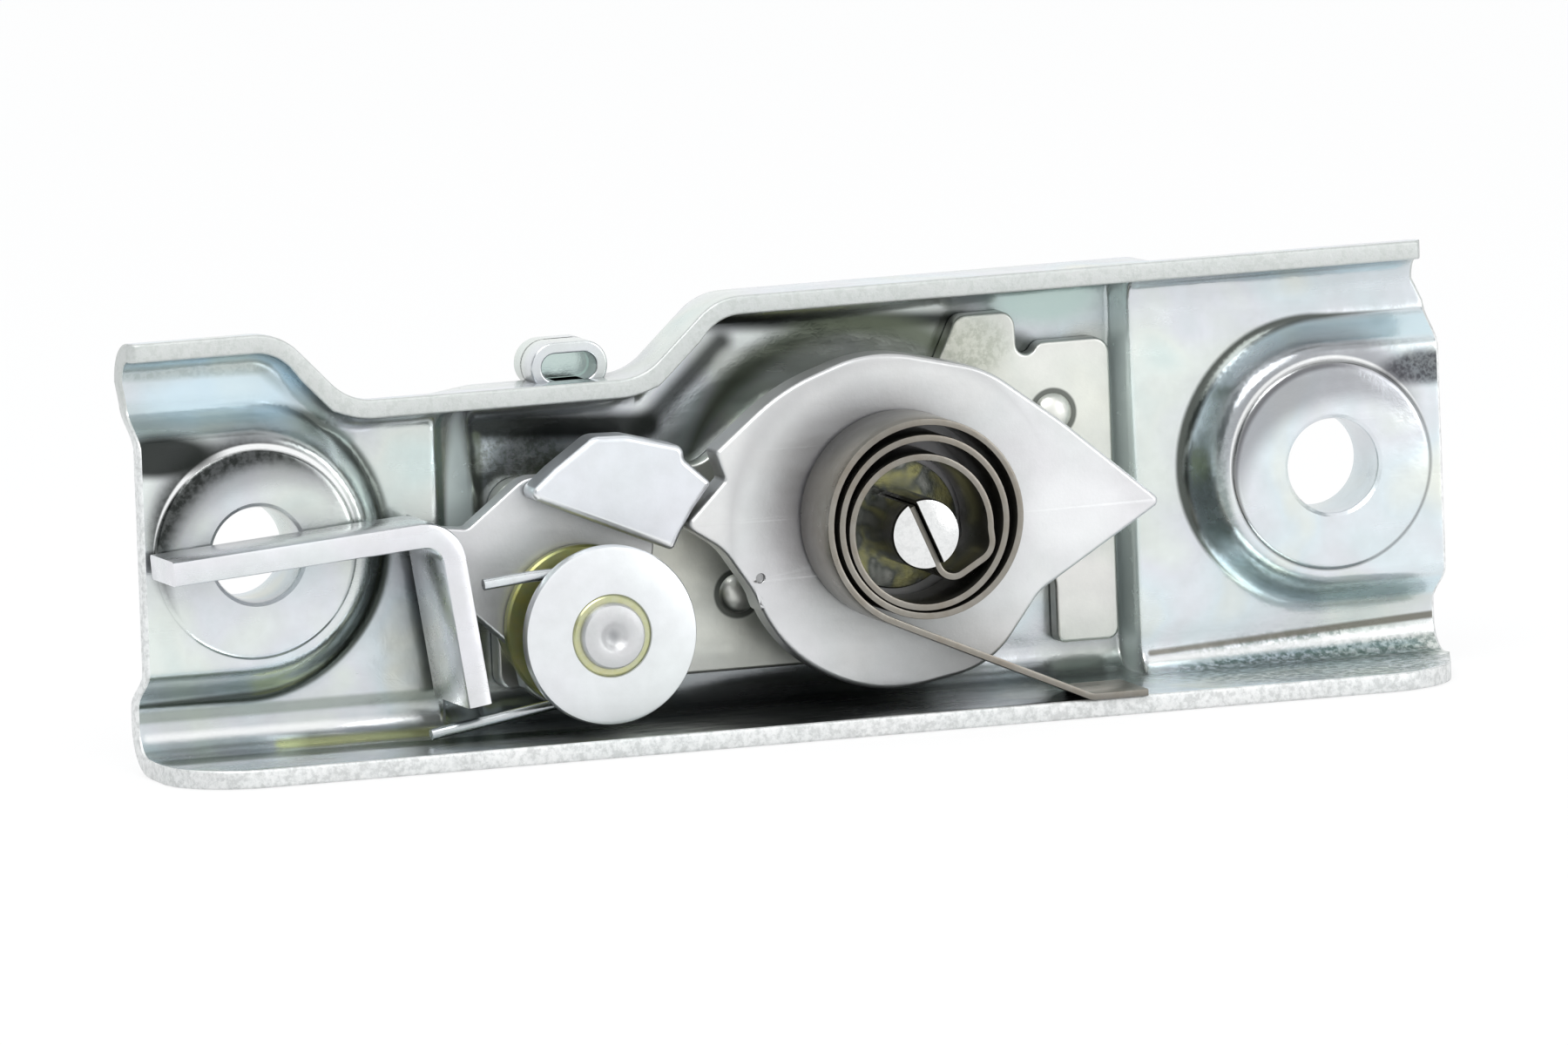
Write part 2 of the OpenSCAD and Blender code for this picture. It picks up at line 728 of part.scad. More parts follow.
// Pawl lever: a flat plate round the pivot with a strip bent forward along its upper left edge.
pawl_c = [pawl_x, pawl_z];
arm_z = 22.2;
arm_rise = 1.7;
arm_end = 25;
knee = [29.4, 20.6];
leg_foot = [knee.x + 1, knee.y - leg_drop];
strip_line = [[arm_x, arm_z - arm_rise], [arm_end, arm_z], knee, leg_foot];
strip_front = lever_front - strip_out;

module pawl_lever()
    color(pale)
        place()
            difference() {
                union() {
                    translate([pawl_x, 0, pawl_z])
                        bar(lever_hub_r, lever_front, lever_back);
                    slab(lever_front, lever_back)
                        polygon(rounded([
                            [pawl_x + 6.4, pawl_z - 2, 0],
                            [pawl_x + 8.6, pawl_z + 14, 2],
                            [pawl_x - 5, pawl_z + 14.5, 3],
                            [32.5, 21.4, 1],
                            [28.4, 21.9, 0.5],
                            [28.6, 17, 1],
                            [pawl_x - 6.4, pawl_z - 2, 0]]));
                    release_arm();
                }
                translate([pawl_x, 0, pawl_z])
                    bar(pawl_bush_r + run_gap, -far / 4, far / 4);
                tooth_rivet_places()
                    bar(tooth_rivet_r, -far / 4, far / 4);
            }

// The bent strip: a long arm to the left and a leg down to the flange.
arm_cut_x = 27.4;
module release_arm()
    difference() {
        slab(strip_front, lever_back)
            polygon(ribbon(bent_line(), lever_t));
        translate([-far, seat_front - arm_gap, -far / 2])
            cube([far + arm_cut_x, far, far]);
    }

function bent_line() = concat([strip_line[0]],
    arc_at(strip_line[0], [knee.x - 1.4, arm_z + 0.2], leg_foot, 3, 6), [leg_foot]);

// Pawl tooth: a thicker plate on the lever, whose tip sits in the notch of the rotor.
tooth_edge = rotor_c.x - lobe_reach;
tooth_tip = [tooth_edge + 3, 24.4];
module pawl_tooth()
    color(pale)
        place()
            difference() {
                slab(tooth_front, lever_front)
                    polygon(rounded([
                        [37.3, 24.5, 0.8],
                        [40.2, 26.9, 2],
                        [44.3, 29.7, 2],
                        [47.6, 29.6, 3],
                        [tooth_edge + 0.2, 28.1, 1],
                        [tooth_edge + 0.3, 26.8, 0.8],
                        [tooth_tip.x, tooth_tip.y, 0.5],
                        [tooth_edge + 1, 22, 3],
                        [tooth_edge - 0.4, 19.8, 2],
                        [tooth_edge - 1.2, 18.2, 0.5]], 5));
                tooth_rivet_places()
                    bar(tooth_rivet_r, -far / 4, far / 4);
            }

module tooth_rivet_places()
    for (p = [[43.6, 25.4], [49.6, 23]])
        translate([p.x, 0, p.y])
            children();

module tooth_rivets()
    color(pale)
        place()
            tooth_rivet_places()
                bar(tooth_rivet_r, tooth_front, lever_back);

// Pivot of the pawl: bush, washer, rivet and rear washer.
module pawl_bush()
    color(olive)
        place()
            translate([pawl_x, 0, pawl_z])
                difference() {
                    union() {
                        bar(pawl_bush_r, washer_front, plate_front);
                        bar(bush_flange_r, lever_front - bush_flange_t, lever_front - 0.1);
                    }
                    bar(pin_r, -far / 4, far / 4);
                }

module pawl_spacer()
    color(olive)
        place()
            translate([pawl_x, 0, pawl_z])
                difference() {
                    bar(spacer_r, lever_back + 0.1, plate_front);
                    bar(pawl_bush_r, -far / 4, far / 4);
                }

module pawl_washer()
    color(pale)
        place()
            translate([pawl_x, 0, pawl_z])
                difference() {
                    bar(pawl_washer_r, washer_front, washer_back);
                    bar(pawl_bush_r, -far / 4, far / 4);
                }

module pawl_rivet()
    color(pale)
        place()
            translate([pawl_x, 0, pawl_z])
                difference() {
                    union() {
                        bar(pin_r, washer_front - eps, shaft_washer_back);
                        turned()
                            polygon([[0, -washer_front], [pin_head_r, -washer_front],
                                [pin_head_r, -washer_front + pin_head_h * 0.55],
                                [pin_head_r - 0.5, -pin_front], [0, -pin_front]]);
                        bar(pin_head_r, shaft_washer_back - rear_washer_t + 0.8, shaft_washer_back);
                    }
                    translate([0, pin_front - 0.9, 0])
                        sphere(r = 1.5);
                }

module pawl_rear_washer()
    color(zinc)
        place()
            translate([pawl_x, 0, pawl_z])
                difference() {
                    bar(pawl_washer_r - 2.6, floor_back, shaft_washer_back - rear_washer_t + 0.8);
                    bar(pin_r, 0, far / 4);
                }

// Pawl spring: wire coils round the pivot, one leg under the bent strip and one on the flange.
coil_steps = 20;
upper_leg = [31.4, 17];
lower_leg = [26.5, case_t + wire_r + 0.4];
coil_front = washer_back + wire_r + 0.2;
coil_rear = coil_back - wire_r;
upper_angle = 93;
lower_angle = -97;
wire_sweep = upper_angle - lower_angle + 360 * floor(wire_turns);
wire_count = floor(coil_steps * wire_sweep / 360);
function wire_point(s) =
    let (p = polar(pawl_c, wire_coil_r, upper_angle - wire_sweep * s))
    [p.x, coil_front + (coil_rear - coil_front) * s, p.y];
wire_path = concat(
    [[upper_leg.x, coil_front, upper_leg.y]],
    [for (k = [0:wire_count]) wire_point(k / wire_count)],
    [[lower_leg.x, coil_rear, lower_leg.y]]);

// Round wire swept along a path.
wire_sides = 8;
function tangent(p, i) = unit(p[min(i + 1, len(p) - 1)] - p[max(i - 1, 0)]);
function wire_ring(p, i, r) =
    let (t = tangent(p, i), side = unit(cross(t, [0, 1, 0])), up = cross(side, t))
    [for (k = [0:wire_sides - 1])
        p[i] + r * (cos(360 * k / wire_sides) * side - sin(360 * k / wire_sides) * up)];
module wire(p, r)
    skin([for (i = [0:len(p) - 1]) wire_ring(p, i, r)]);

module pawl_spring()
    color(zinc)
        place()
            wire(wire_path, wire_r);

case();
bearing_plate();
plate_rivet_left();
plate_rivet_right();
rotor();
rotor_shaft();
rotor_bush();
hub_collar();
shaft_washer();
spiral_spring();
pawl_lever();
pawl_tooth();
tooth_rivets();
pawl_bush();
pawl_spacer();
pawl_washer();
pawl_rivet();
pawl_rear_washer();
pawl_spring();
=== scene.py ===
"""Hood lock in zinc-plated steel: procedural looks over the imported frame."""

import logging
import math
from dataclasses import dataclass, field
from enum import Enum
from typing import ClassVar, Sequence

import bmesh
import bpy
import numpy as np
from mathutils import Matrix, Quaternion, Vector
from mathutils.geometry import tessellate_polygon


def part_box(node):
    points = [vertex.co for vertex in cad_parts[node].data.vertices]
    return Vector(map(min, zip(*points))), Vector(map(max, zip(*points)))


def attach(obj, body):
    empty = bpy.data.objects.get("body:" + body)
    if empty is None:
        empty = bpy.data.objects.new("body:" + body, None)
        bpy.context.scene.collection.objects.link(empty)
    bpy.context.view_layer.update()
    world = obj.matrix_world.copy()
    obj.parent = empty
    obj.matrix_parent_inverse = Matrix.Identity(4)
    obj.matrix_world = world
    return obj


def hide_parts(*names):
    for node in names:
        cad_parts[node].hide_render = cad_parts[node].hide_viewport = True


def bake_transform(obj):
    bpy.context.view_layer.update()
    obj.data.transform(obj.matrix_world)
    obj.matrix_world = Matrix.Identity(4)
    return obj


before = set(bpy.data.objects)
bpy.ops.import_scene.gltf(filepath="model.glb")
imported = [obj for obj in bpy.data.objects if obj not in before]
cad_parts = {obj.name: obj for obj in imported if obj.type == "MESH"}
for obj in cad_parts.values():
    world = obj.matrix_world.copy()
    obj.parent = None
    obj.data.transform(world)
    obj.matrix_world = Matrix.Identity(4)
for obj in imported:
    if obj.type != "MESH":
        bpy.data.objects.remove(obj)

logging.basicConfig(level=logging.INFO, format="%(levelname)s %(message)s")
log = logging.getLogger("hood_lock")

MM = 0.001
Point = tuple[float, float]
Triple = tuple[float, float, float]
Colour = Triple
Stops = Sequence[tuple[float, Colour]]
Faces = list[tuple[int, ...]]
Socket = bpy.types.NodeSocket
Thing = bpy.types.Object


class Body(Enum):
    """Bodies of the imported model."""

    CASE = "case_body"
    ROTOR = "rotor_body"
    PAWL = "pawl_body"


@dataclass(frozen=True)
class Sizes:
    """Sizes in millimetres that several sub-assemblies share, as in the CAD source."""

    length: float = 131.0
    sheet: float = 1.8
    flange_depth: float = 15.5
    flange_bend: float = 2.8
    lip_depth: float = 3.4
    lip_bend: float = 2.2
    lip_over: float = 0.4
    lip_short: float = 1.1
    recess: float = 4.0
    seat_end: float = 11.3
    seat_z: float = 20.7
    bolt_r: float = 4.5
    rotor_x: float = 74.0
    rotor_z: float = 19.1
    pawl_x: float = 43.4
    pawl_z: float = 11.4
    rotor_back: float = -4.0
    rotor_front: float = -7.5
    slot_angle: float = 23.0


SIZES = Sizes()
LEFT: Point = (SIZES.seat_end, SIZES.seat_z)
RIGHT: Point = (SIZES.length - SIZES.seat_end, SIZES.seat_z)
AXLE: Point = (SIZES.rotor_x, SIZES.rotor_z)
PIVOT: Point = (SIZES.pawl_x, SIZES.pawl_z)
RIVETS: tuple[Point, Point] = ((61.3, 12.3), (93.7, 27.1))


@dataclass(frozen=True)
class Datum:
    """Place of the case's own frame in the row frame.

    Args:
        origin: left end of the wall, front of the wall, underside of the flange.
    """

    origin: Vector

    @staticmethod
    def from_frame(sizes: Sizes) -> "Datum":
        """Works the origin out from the box of the case.

        Args:
            sizes: the shared sizes.

        Returns:
            The datum.
        """
        low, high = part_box("case")
        wall = high.y - (sizes.recess + sizes.sheet) * MM
        return Datum(Vector((low.x + sizes.lip_over * MM, wall, low.z)))

    def row(self, x: float, y: float, z: float) -> Vector:
        """A point of the case's frame, in the row frame."""
        return self.origin + Vector((x, y, z)) * MM


DATUM = Datum.from_frame(SIZES)


def arc_at(a: Point, b: Point, c: Point, r: float, n: int) -> list[Point]:
    """Points of the arc that rounds corner b of the path a, b, c.

    Args:
        a: point before the corner.
        b: the corner.
        c: point after the corner.
        r: radius of the arc.
        n: number of steps.

    Returns:
        n + 1 points.
    """
    pa, pb, pc = (np.array(p[:2], float) for p in (a, b, c))
    u, v = (pa - pb) / np.linalg.norm(pa - pb), (pc - pb) / np.linalg.norm(pc - pb)
    half = math.acos(max(-1.0, min(1.0, float(u @ v)))) / 2
    centre = pb + (u + v) / np.linalg.norm(u + v) * r / math.sin(half)
    p, q = pb + u * r / math.tan(half), pb + v * r / math.tan(half)
    start = math.atan2(*(p - centre)[::-1])
    sweep = math.atan2(*(q - centre)[::-1]) - start
    sweep = (sweep + math.pi) % (2 * math.pi) - math.pi
    return [
        tuple(centre + r * np.array([math.cos(start + sweep * i / n), math.sin(start + sweep * i / n)]))
        for i in range(n + 1)
    ]


def rounded(corners: Sequence[Triple], n: int = 10) -> list[Point]:
    """Closed outline with every corner rounded by its own radius.

    Args:
        corners: X, Z and radius of each corner.
        n: steps of each arc.

    Returns:
        The points of the outline.
    """
    out: list[Point] = []
    for i, (x, z, r) in enumerate(corners):
        if r <= 0:
            out.append((x, z))
        else:
            out += arc_at(corners[i - 1], (x, z), corners[(i + 1) % len(corners)], r, n)
    return out


def polar(cx: float, cz: float, r: float, degrees: float) -> Point:
    """A point at a radius and an angle about a centre."""
    a = math.radians(degrees)
    return cx + r * math.cos(a), cz + r * math.sin(a)


def circle(cx: float, cz: float, r: float, n: int = 72) -> list[Point]:
    """Points of a circle."""
    angles = (2 * math.pi * k / n for k in range(n))
    return [(cx + r * math.cos(a), cz + r * math.sin(a)) for a in angles]


def quads(low: int, high: int, n: int) -> Faces:
    """Faces between two closed rings of n points, each given by its first index."""
    return [(low + k, low + (k + 1) % n, high + (k + 1) % n, high + k) for k in range(n)]


def heading(azimuth: float, elevation: float) -> Vector:
    """Direction at so many degrees from the front and above the horizon."""
    a, e = math.radians(azimuth), math.radians(elevation)
    return Vector((math.sin(a) * math.cos(e), -math.cos(a) * math.cos(e), math.sin(e)))


def linked(name: str, data: bpy.types.ID) -> Thing:
    """Makes an object and links it to the scene.

    Args:
        name: its name.
        data: its mesh, camera or lamp.

    Returns:
        The object.
    """
    obj = bpy.data.objects.new(name, data)
    bpy.context.scene.collection.objects.link(obj)
    return obj


class Forge:
    """Makes mesh objects from sizes in the case's frame."""

    CREASE: ClassVar[float] = 32.0
    CAP: ClassVar[float] = 0.999
    WELD: ClassVar[float] = 2e-6
    SHORTEST: ClassVar[float] = 0.012

    @staticmethod
    def mesh(
        name: str, points: np.ndarray, faces: Sequence[Sequence[int]],
        crease: float = CREASE, groups: Sequence[int] = (),
    ) -> Thing:
        """Makes a smooth-shaded object.

        Args:
            name: name of the piece.
            points: vertices in millimetres, in the case's frame.
            faces: vertex indices of the faces.
            crease: edges sharper than this angle stay sharp.
            groups: first faces of the second and the later materials.

        Returns:
            The new object, linked to the scene.
        """
        data = bpy.data.meshes.new(name)
        rows = np.array(points, float) * MM + np.array(DATUM.origin)
        data.from_pydata(rows.tolist(), [], [list(f) for f in faces])
        if groups:
            index = np.searchsorted(groups, np.arange(len(faces)), side="right")
            data.polygons.foreach_set("material_index", index)
        return Forge.finish(name, data, crease)

    @staticmethod
    def finish(name: str, data: bpy.types.Mesh, crease: float, flat_caps: bool = False) -> Thing:
        """Welds a mesh, turns its normals outwards and shades it.

        Args:
            name: name of the piece.
            data: the mesh.
            crease: edges sharper than this angle stay sharp.
            flat_caps: True where faces across Y keep flat shading.

        Returns:
            The new object, linked to the scene.
        """
        bm = bmesh.new()
        bm.from_mesh(data)
        bmesh.ops.remove_doubles(bm, verts=bm.verts, dist=Forge.WELD)
        bmesh.ops.recalc_face_normals(bm, faces=bm.faces)
        bm.to_mesh(data)
        bm.free()
        smooth = [not flat_caps or abs(f.normal.y) < Forge.CAP for f in data.polygons]
        data.polygons.foreach_set("use_smooth", smooth)
        data.set_sharp_from_angle(angle=math.radians(crease))
        return linked(name, data)

    @staticmethod
    def inset(outline: np.ndarray, d: float) -> np.ndarray:
        """Moves a counter-clockwise outline inwards; a clockwise one moves outwards.

        Args:
            outline: rows of X and Z.
            d: distance of the move.

        Returns:
            The moved outline.
        """
        before = outline - np.roll(outline, 1, axis=0)
        after = np.roll(before, -1, axis=0)
        before /= np.linalg.norm(before, axis=1)[:, None]
        after /= np.linalg.norm(after, axis=1)[:, None]
        n0 = np.stack([-before[:, 1], before[:, 0]], 1)
        n1 = np.stack([-after[:, 1], after[:, 0]], 1)
        mean = n0 + n1
        mean /= np.maximum(1e-6, np.linalg.norm(mean, axis=1))[:, None]
        return outline + mean * (d / np.maximum(0.6, (mean * n0).sum(1)))[:, None]

    @staticmethod
    def plate(
        name: str, outlines: Sequence[Sequence[Point]], y0: float, y1: float, bevel: float = 0.25
    ) -> Thing:
        """Flat plate with rounded edges.

        Args:
            name: name of the piece.
            outlines: closed outlines of X and Z; the first is the outside, the others are holes.
            y0: front of the plate.
            y1: back of the plate.
            bevel: radius of its edges.

        Returns:
            The new object.
        """
        steps = [math.radians(a) for a in (0, 22.5, 45, 67.5, 90)]
        section = [(bevel * (1 - math.sin(a)), y0 + bevel * (1 - math.cos(a))) for a in steps]
        section += [(d, y1 + y0 - y) for d, y in reversed(section)]
        pts: list[np.ndarray] = []
        faces: Faces = []
        front: list[list[int]] = []
        back: list[list[int]] = []
        base = 0
        for k, outline in enumerate(outlines):
            line = np.array(outline, float)
            line = line[np.linalg.norm(line - np.roll(line, 1, axis=0), axis=1) > Forge.SHORTEST]
            x, z = line.T
            area = float((x * np.roll(z, -1) - z * np.roll(x, -1)).sum())
            if (area > 0) != (k == 0):
                line = line[::-1]
            n, rings = len(line), len(section)
            for d, y in section:
                moved = Forge.inset(line, d)
                pts.append(np.stack([moved[:, 0], np.full(n, y), moved[:, 1]], 1))
            for r in range(rings - 1):
                faces += quads(base + r * n, base + (r + 1) * n, n)
            front.append([base + i for i in range(n)])
            back.append([base + (rings - 1) * n + i for i in range(n)])
            base += rings * n
        every = np.concatenate(pts)
        for loops in (front, back):
            flat = [i for loop in loops for i in loop]
            tris = tessellate_polygon([[Vector((*every[i][[0, 2]], 0)) for i in loop] for loop in loops])
            faces += [tuple(flat[i] for i in tri) for tri in tris]
        obj = Forge.mesh(name, every, faces)
        smooth = [abs(f.normal.y) < Forge.CAP for f in obj.data.polygons]
        obj.data.polygons.foreach_set("use_smooth", smooth)
        obj.modifiers.new("normals", "WEIGHTED_NORMAL").keep_sharp = True
        return obj

    @staticmethod
    def lathe(name: str, profile: Sequence[Point], cx: float, cz: float, segments: int = 96) -> Thing:
        """Turned piece about an axis along Y.

        Args:
            name: name of the piece.
            profile: closed loop of radius and Y.
            cx: X of the axis.
            cz: Z of the axis.
            segments: number of sides.

        Returns:
            The new object.
        """
        n = len(profile)
        a = np.arange(segments) * 2 * math.pi / segments
        pts = [[cx + r * math.cos(t), y, cz + r * math.sin(t)] for t in a for r, y in profile]
        faces = [f for s in range(segments) for f in quads(s * n, (s + 1) % segments * n, n)]
        keep = [f for f in faces if not (profile[f[0] % n][0] == 0 and profile[f[1] % n][0] == 0)]
        return Forge.mesh(name, np.array(pts), keep)

    @staticmethod
    def skin(name: str, rings: Sequence[np.ndarray], crease: float = 40.0) -> Thing:
        """Closed solid through a list of rings.

        Args:
            name: name of the piece.
            rings: the rings, with the same number of points each.
            crease: edges sharper than this angle stay sharp.

        Returns:
            The new object.
        """
        n = len(rings[0])
        pts = np.concatenate(rings)
        faces = [f for i in range(len(rings) - 1) for f in quads(i * n, (i + 1) * n, n)]
        faces.append(tuple(range(n)))
        faces.append(tuple(range(len(pts) - n, len(pts))))
        return Forge.mesh(name, pts, faces, crease)

    @staticmethod
    def strip(
        name: str, path: Sequence[Point], t: float, y0: float, backs: float | Sequence[float], edge: float
    ) -> Thing:
        """Bent strip of even thickness with eased edges.

        Args:
            name: name of the piece.
            path: middle line of X and Z.
            t: thickness.
            y0: front edge.
            backs: back edge, or one value for each point of the path.
            edge: radius of the edges.

        Returns:
            The new object.
        """
        p = np.array(path, float)
        step = np.diff(p, axis=0)
        step /= np.linalg.norm(step, axis=1)[:, None]
        before = np.vstack([step[:1], step])
        after = np.vstack([step, step[-1:]])
        mean = before + after
        mean /= np.linalg.norm(mean, axis=1)[:, None]
        stretch = 1 / np.maximum(0.5, (mean * before).sum(1))
        side = np.stack([-mean[:, 1], mean[:, 0]], 1) * stretch[:, None]
        h, e = t / 2, edge
        d = e * (1 - math.sqrt(0.5))
        rings = []
        for c, w, y1 in zip(p, side, np.broadcast_to(backs, len(p))):
            loop = [
                (-h, y0 + e), (-h + d, y0 + d), (-h + e, y0), (h - e, y0), (h - d, y0 + d), (h, y0 + e),
                (h, y1 - e), (h - d, y1 - d), (h - e, y1), (-h + e, y1), (-h + d, y1 - d), (-h, y1 - e),
            ]
            rings.append(np.array([[c[0] + w[0] * v, y, c[1] + w[1] * v] for v, y in loop]))
        return Forge.skin(name, rings)

    @staticmethod
    def wire(name: str, path: np.ndarray, r: float, sides: int = 14) -> Thing:
        """Round wire along a path.

        Args:
            name: name of the piece.
            path: points of its middle line.
            r: radius of the wire.
            sides: sides of its section.

        Returns:
            The new object.
        """
        p = np.array(path, float)
        tangent = np.gradient(p, axis=0)
        tangent /= np.linalg.norm(tangent, axis=1)[:, None]
        rings = []
        for c, t in zip(p, tangent):
            u = np.cross(t, [0.0, 1.0, 0.0])
            u /= np.linalg.norm(u)
            v = np.cross(u, t)
            a = np.arange(sides) * 2 * math.pi / sides
            rings.append(c + r * (np.cos(a)[:, None] * u + np.sin(a)[:, None] * v))
        return Forge.skin(name, rings)

    @staticmethod
    def cut(obj: Thing, cutter: Thing) -> Thing:
        """Cuts one object with another and removes the cutter.

        Args:
            obj: the piece.
            cutter: the shape taken away from it.

        Returns:
            The cut piece, under its old name.
        """
        name = obj.name
        step = obj.modifiers.new("cut", "BOOLEAN")
        step.object, step.operation, step.solver = cutter, "DIFFERENCE", "EXACT"
        while obj.modifiers.find("cut") > 0:
            obj.modifiers.remove(obj.modifiers[0])
        bpy.context.view_layer.update()
        data = bpy.data.meshes.new_from_object(obj.evaluated_get(bpy.context.evaluated_depsgraph_get()))
        bpy.data.objects.remove(obj)
        bpy.data.objects.remove(cutter)
        made = Forge.finish(name, data, Forge.CREASE, flat_caps=True)
        made.modifiers.new("normals", "WEIGHTED_NORMAL").keep_sharp = True
        return made


class Graph:
    """Small helper that builds a node tree."""

    def __init__(self, owner: bpy.types.Material | bpy.types.World) -> None:
        """Empties the node tree of a material or a world.

        Args:
            owner: the material or the world.
        """
        owner.use_nodes = True
        self.owner = owner
        self.tree = owner.node_tree
        self.tree.nodes.clear()
        world = isinstance(owner, bpy.types.World)
        self.out = self.add("ShaderNodeOutputWorld" if world else "ShaderNodeOutputMaterial")
        self.coord = self.add("ShaderNodeTexCoord").outputs["Generated" if world else "Object"]

    @classmethod
    def material(cls, name: str) -> "Graph":
        """Starts a new material."""
        return cls(bpy.data.materials.new(name))

    def add(self, kind: str, **values: object) -> bpy.types.Node:
        """Adds a node.

        Args:
            kind: type of the node.
            values: its properties.

        Returns:
            The node.
        """
        node = self.tree.nodes.new(kind)
        for key, value in values.items():
            setattr(node, key, value)
        return node

    def link(self, a: Socket, b: Socket) -> None:
        """Links two sockets."""
        self.tree.links.new(a, b)

    def feed(self, socket: Socket, value: object) -> None:
        """Fills an input.

        Args:
            socket: the input.
            value: the socket, number, vector or colour that goes in.
        """
        if isinstance(value, Socket):
            self.link(value, socket)
        else:
            socket.default_value = value

    def fed(self, kind: str, inputs: dict[str | int, object], **values: object) -> bpy.types.Node:
        """Adds a node and fills its inputs.

        Args:
            kind: type of the node.
            inputs: what goes into each input.
            values: properties of the node.

        Returns:
            The node.
        """
        node = self.add(kind, **values)
        for key, value in inputs.items():
            self.feed(node.inputs[key], value)
        return node

    def mapped(self, scale: Triple, turn: Triple = (0, 0, 0)) -> Socket:
        """Object coordinates in millimetres, stretched and turned."""
        inputs = {"Scale": tuple(s / MM for s in scale), "Rotation": turn, "Vector": self.coord}
        return self.fed("ShaderNodeMapping", inputs).outputs["Vector"]

    def noise(
        self, vector: Socket, scale: float, detail: float, rough: float = 0.5, warp: float = 0.0
    ) -> Socket:
        """Value of a noise texture."""
        inputs = {"Vector": vector, "Scale": scale, "Detail": detail, "Roughness": rough, "Distortion": warp}
        return self.fed("ShaderNodeTexNoise", inputs).outputs["Fac"]

    def ramp(self, value: Socket, stops: Stops) -> Socket:
        """Colour ramp over a value.

        Args:
            value: the value.
            stops: place and colour of each stop.

        Returns:
            The colour.
        """
        node = self.fed("ShaderNodeValToRGB", {"Fac": value})
        ramp = node.color_ramp
        while len(ramp.elements) < len(stops):
            ramp.elements.new(0.5)
        for element, (place, colour) in zip(ramp.elements, stops):
            element.position = place
            element.color = (*colour, 1.0)
        return node.outputs["Color"]

    def levels(
        self, value: Socket, low: float, high: float, to_low: float, to_high: float, smooth: bool = False
    ) -> Socket:
        """Maps a range of a value to another range.

        Args:
            value: the value.
            low: start of its range.
            high: end of its range.
            to_low: result at the start.
            to_high: result at the end.
            smooth: True for a soft start and end.

        Returns:
            The result.
        """
        inputs = {"Value": value, "From Min": low, "From Max": high, "To Min": to_low, "To Max": to_high}
        kind = "SMOOTHSTEP" if smooth else "LINEAR"
        return self.fed("ShaderNodeMapRange", inputs, interpolation_type=kind).outputs["Result"]

    def mix(self, factor: Socket | float, a: Socket | Colour, b: Socket | Colour) -> Socket:
        """Mixes two colours.

        Args:
            factor: share of the second one.
            a: the first one.
            b: the second one.

        Returns:
            The mixed colour.
        """
        node = self.fed("ShaderNodeMix", {0: factor}, data_type="RGBA")
        for key, value in ((6, a), (7, b)):
            self.feed(node.inputs[key], value if isinstance(value, Socket) else (*value, 1.0))
        return node.outputs[2]

    def maths(self, operation: str, a: Socket | float, b: Socket | float = 0.0) -> Socket:
        """Result of a maths node."""
        return self.fed("ShaderNodeMath", {0: a, 1: b}, operation=operation).outputs["Value"]

    def vector(self, operation: str, a: Socket | Vector, b: Socket | Vector | None = None) -> Socket:
        """Result of a vector maths node.

        Args:
            operation: what it does.
            a: the first vector.
            b: the second vector, where it has one.

        Returns:
            The vector, or the number for a length or a dot product.
        """
        inputs = {0: a} if b is None else {0: a, 1: b}
        node = self.fed("ShaderNodeVectorMath", inputs, operation=operation)
        return node.outputs["Value" if operation in ("LENGTH", "DOT_PRODUCT") else "Vector"]

    def bump(self, height: Socket, strength: float, distance: float, below: Socket | None = None) -> Socket:
        """Bump normal from a height.

        Args:
            height: the height.
            strength: strength of the bump.
            distance: its height in millimetres.
            below: normal under it.

        Returns:
            The normal.
        """
        inputs = {"Height": height, "Strength": strength, "Distance": distance * MM}
        if below is not None:
            inputs["Normal"] = below
        return self.fed("ShaderNodeBump", inputs).outputs["Normal"]


@dataclass(frozen=True)
class PaintedLightOrStain:
    """Soft-edged mark of another tone on a finish; most such marks are painted shade, shadow, highlight or
    reflection.

    Args:
        colour: its colour.
        strength: share of that colour in the middle.
        speckle: share by which fine spots break it up.
        core: share of its width that has the full strength.
        dull: share of the metal that it takes away.
    """

    colour: Colour
    strength: float = field(default=0.9, kw_only=True)
    speckle: float = field(default=0.0, kw_only=True)
    core: float = field(default=0.4, kw_only=True)
    dull: float = field(default=0.0, kw_only=True)

    def reach(self, g: Graph) -> Socket:
        """Distance from the middle of the mark; 1 at its rim."""
        raise NotImplementedError

    def mask(self, g: Graph, spots: Socket) -> Socket:
        """Share by which the mark covers the finish.

        Args:
            g: the graph of the material.
            spots: value of the fine spots.

        Returns:
            The share.
        """
        mask = g.levels(self.reach(g), self.core, 1.0, self.strength, 0.0, smooth=True)
        if self.speckle > 0:
            mask = g.maths("MULTIPLY", mask, g.levels(spots, 0.42, 0.58, 1 - self.speckle, 1.0))
        return mask


@dataclass(frozen=True)
class Patch(PaintedLightOrStain):
    """Round or oval mark.

    Args:
        centre: its middle in the case's frame, in millimetres.
        radii: its half sizes.
    """

    centre: Triple
    radii: Triple

    def reach(self, g: Graph) -> Socket:
        """Distance from the middle of the oval."""
        place = g.vector("SUBTRACT", g.coord, DATUM.row(*self.centre))
        return g.vector("LENGTH", g.vector("DIVIDE", place, Vector(self.radii) * MM))


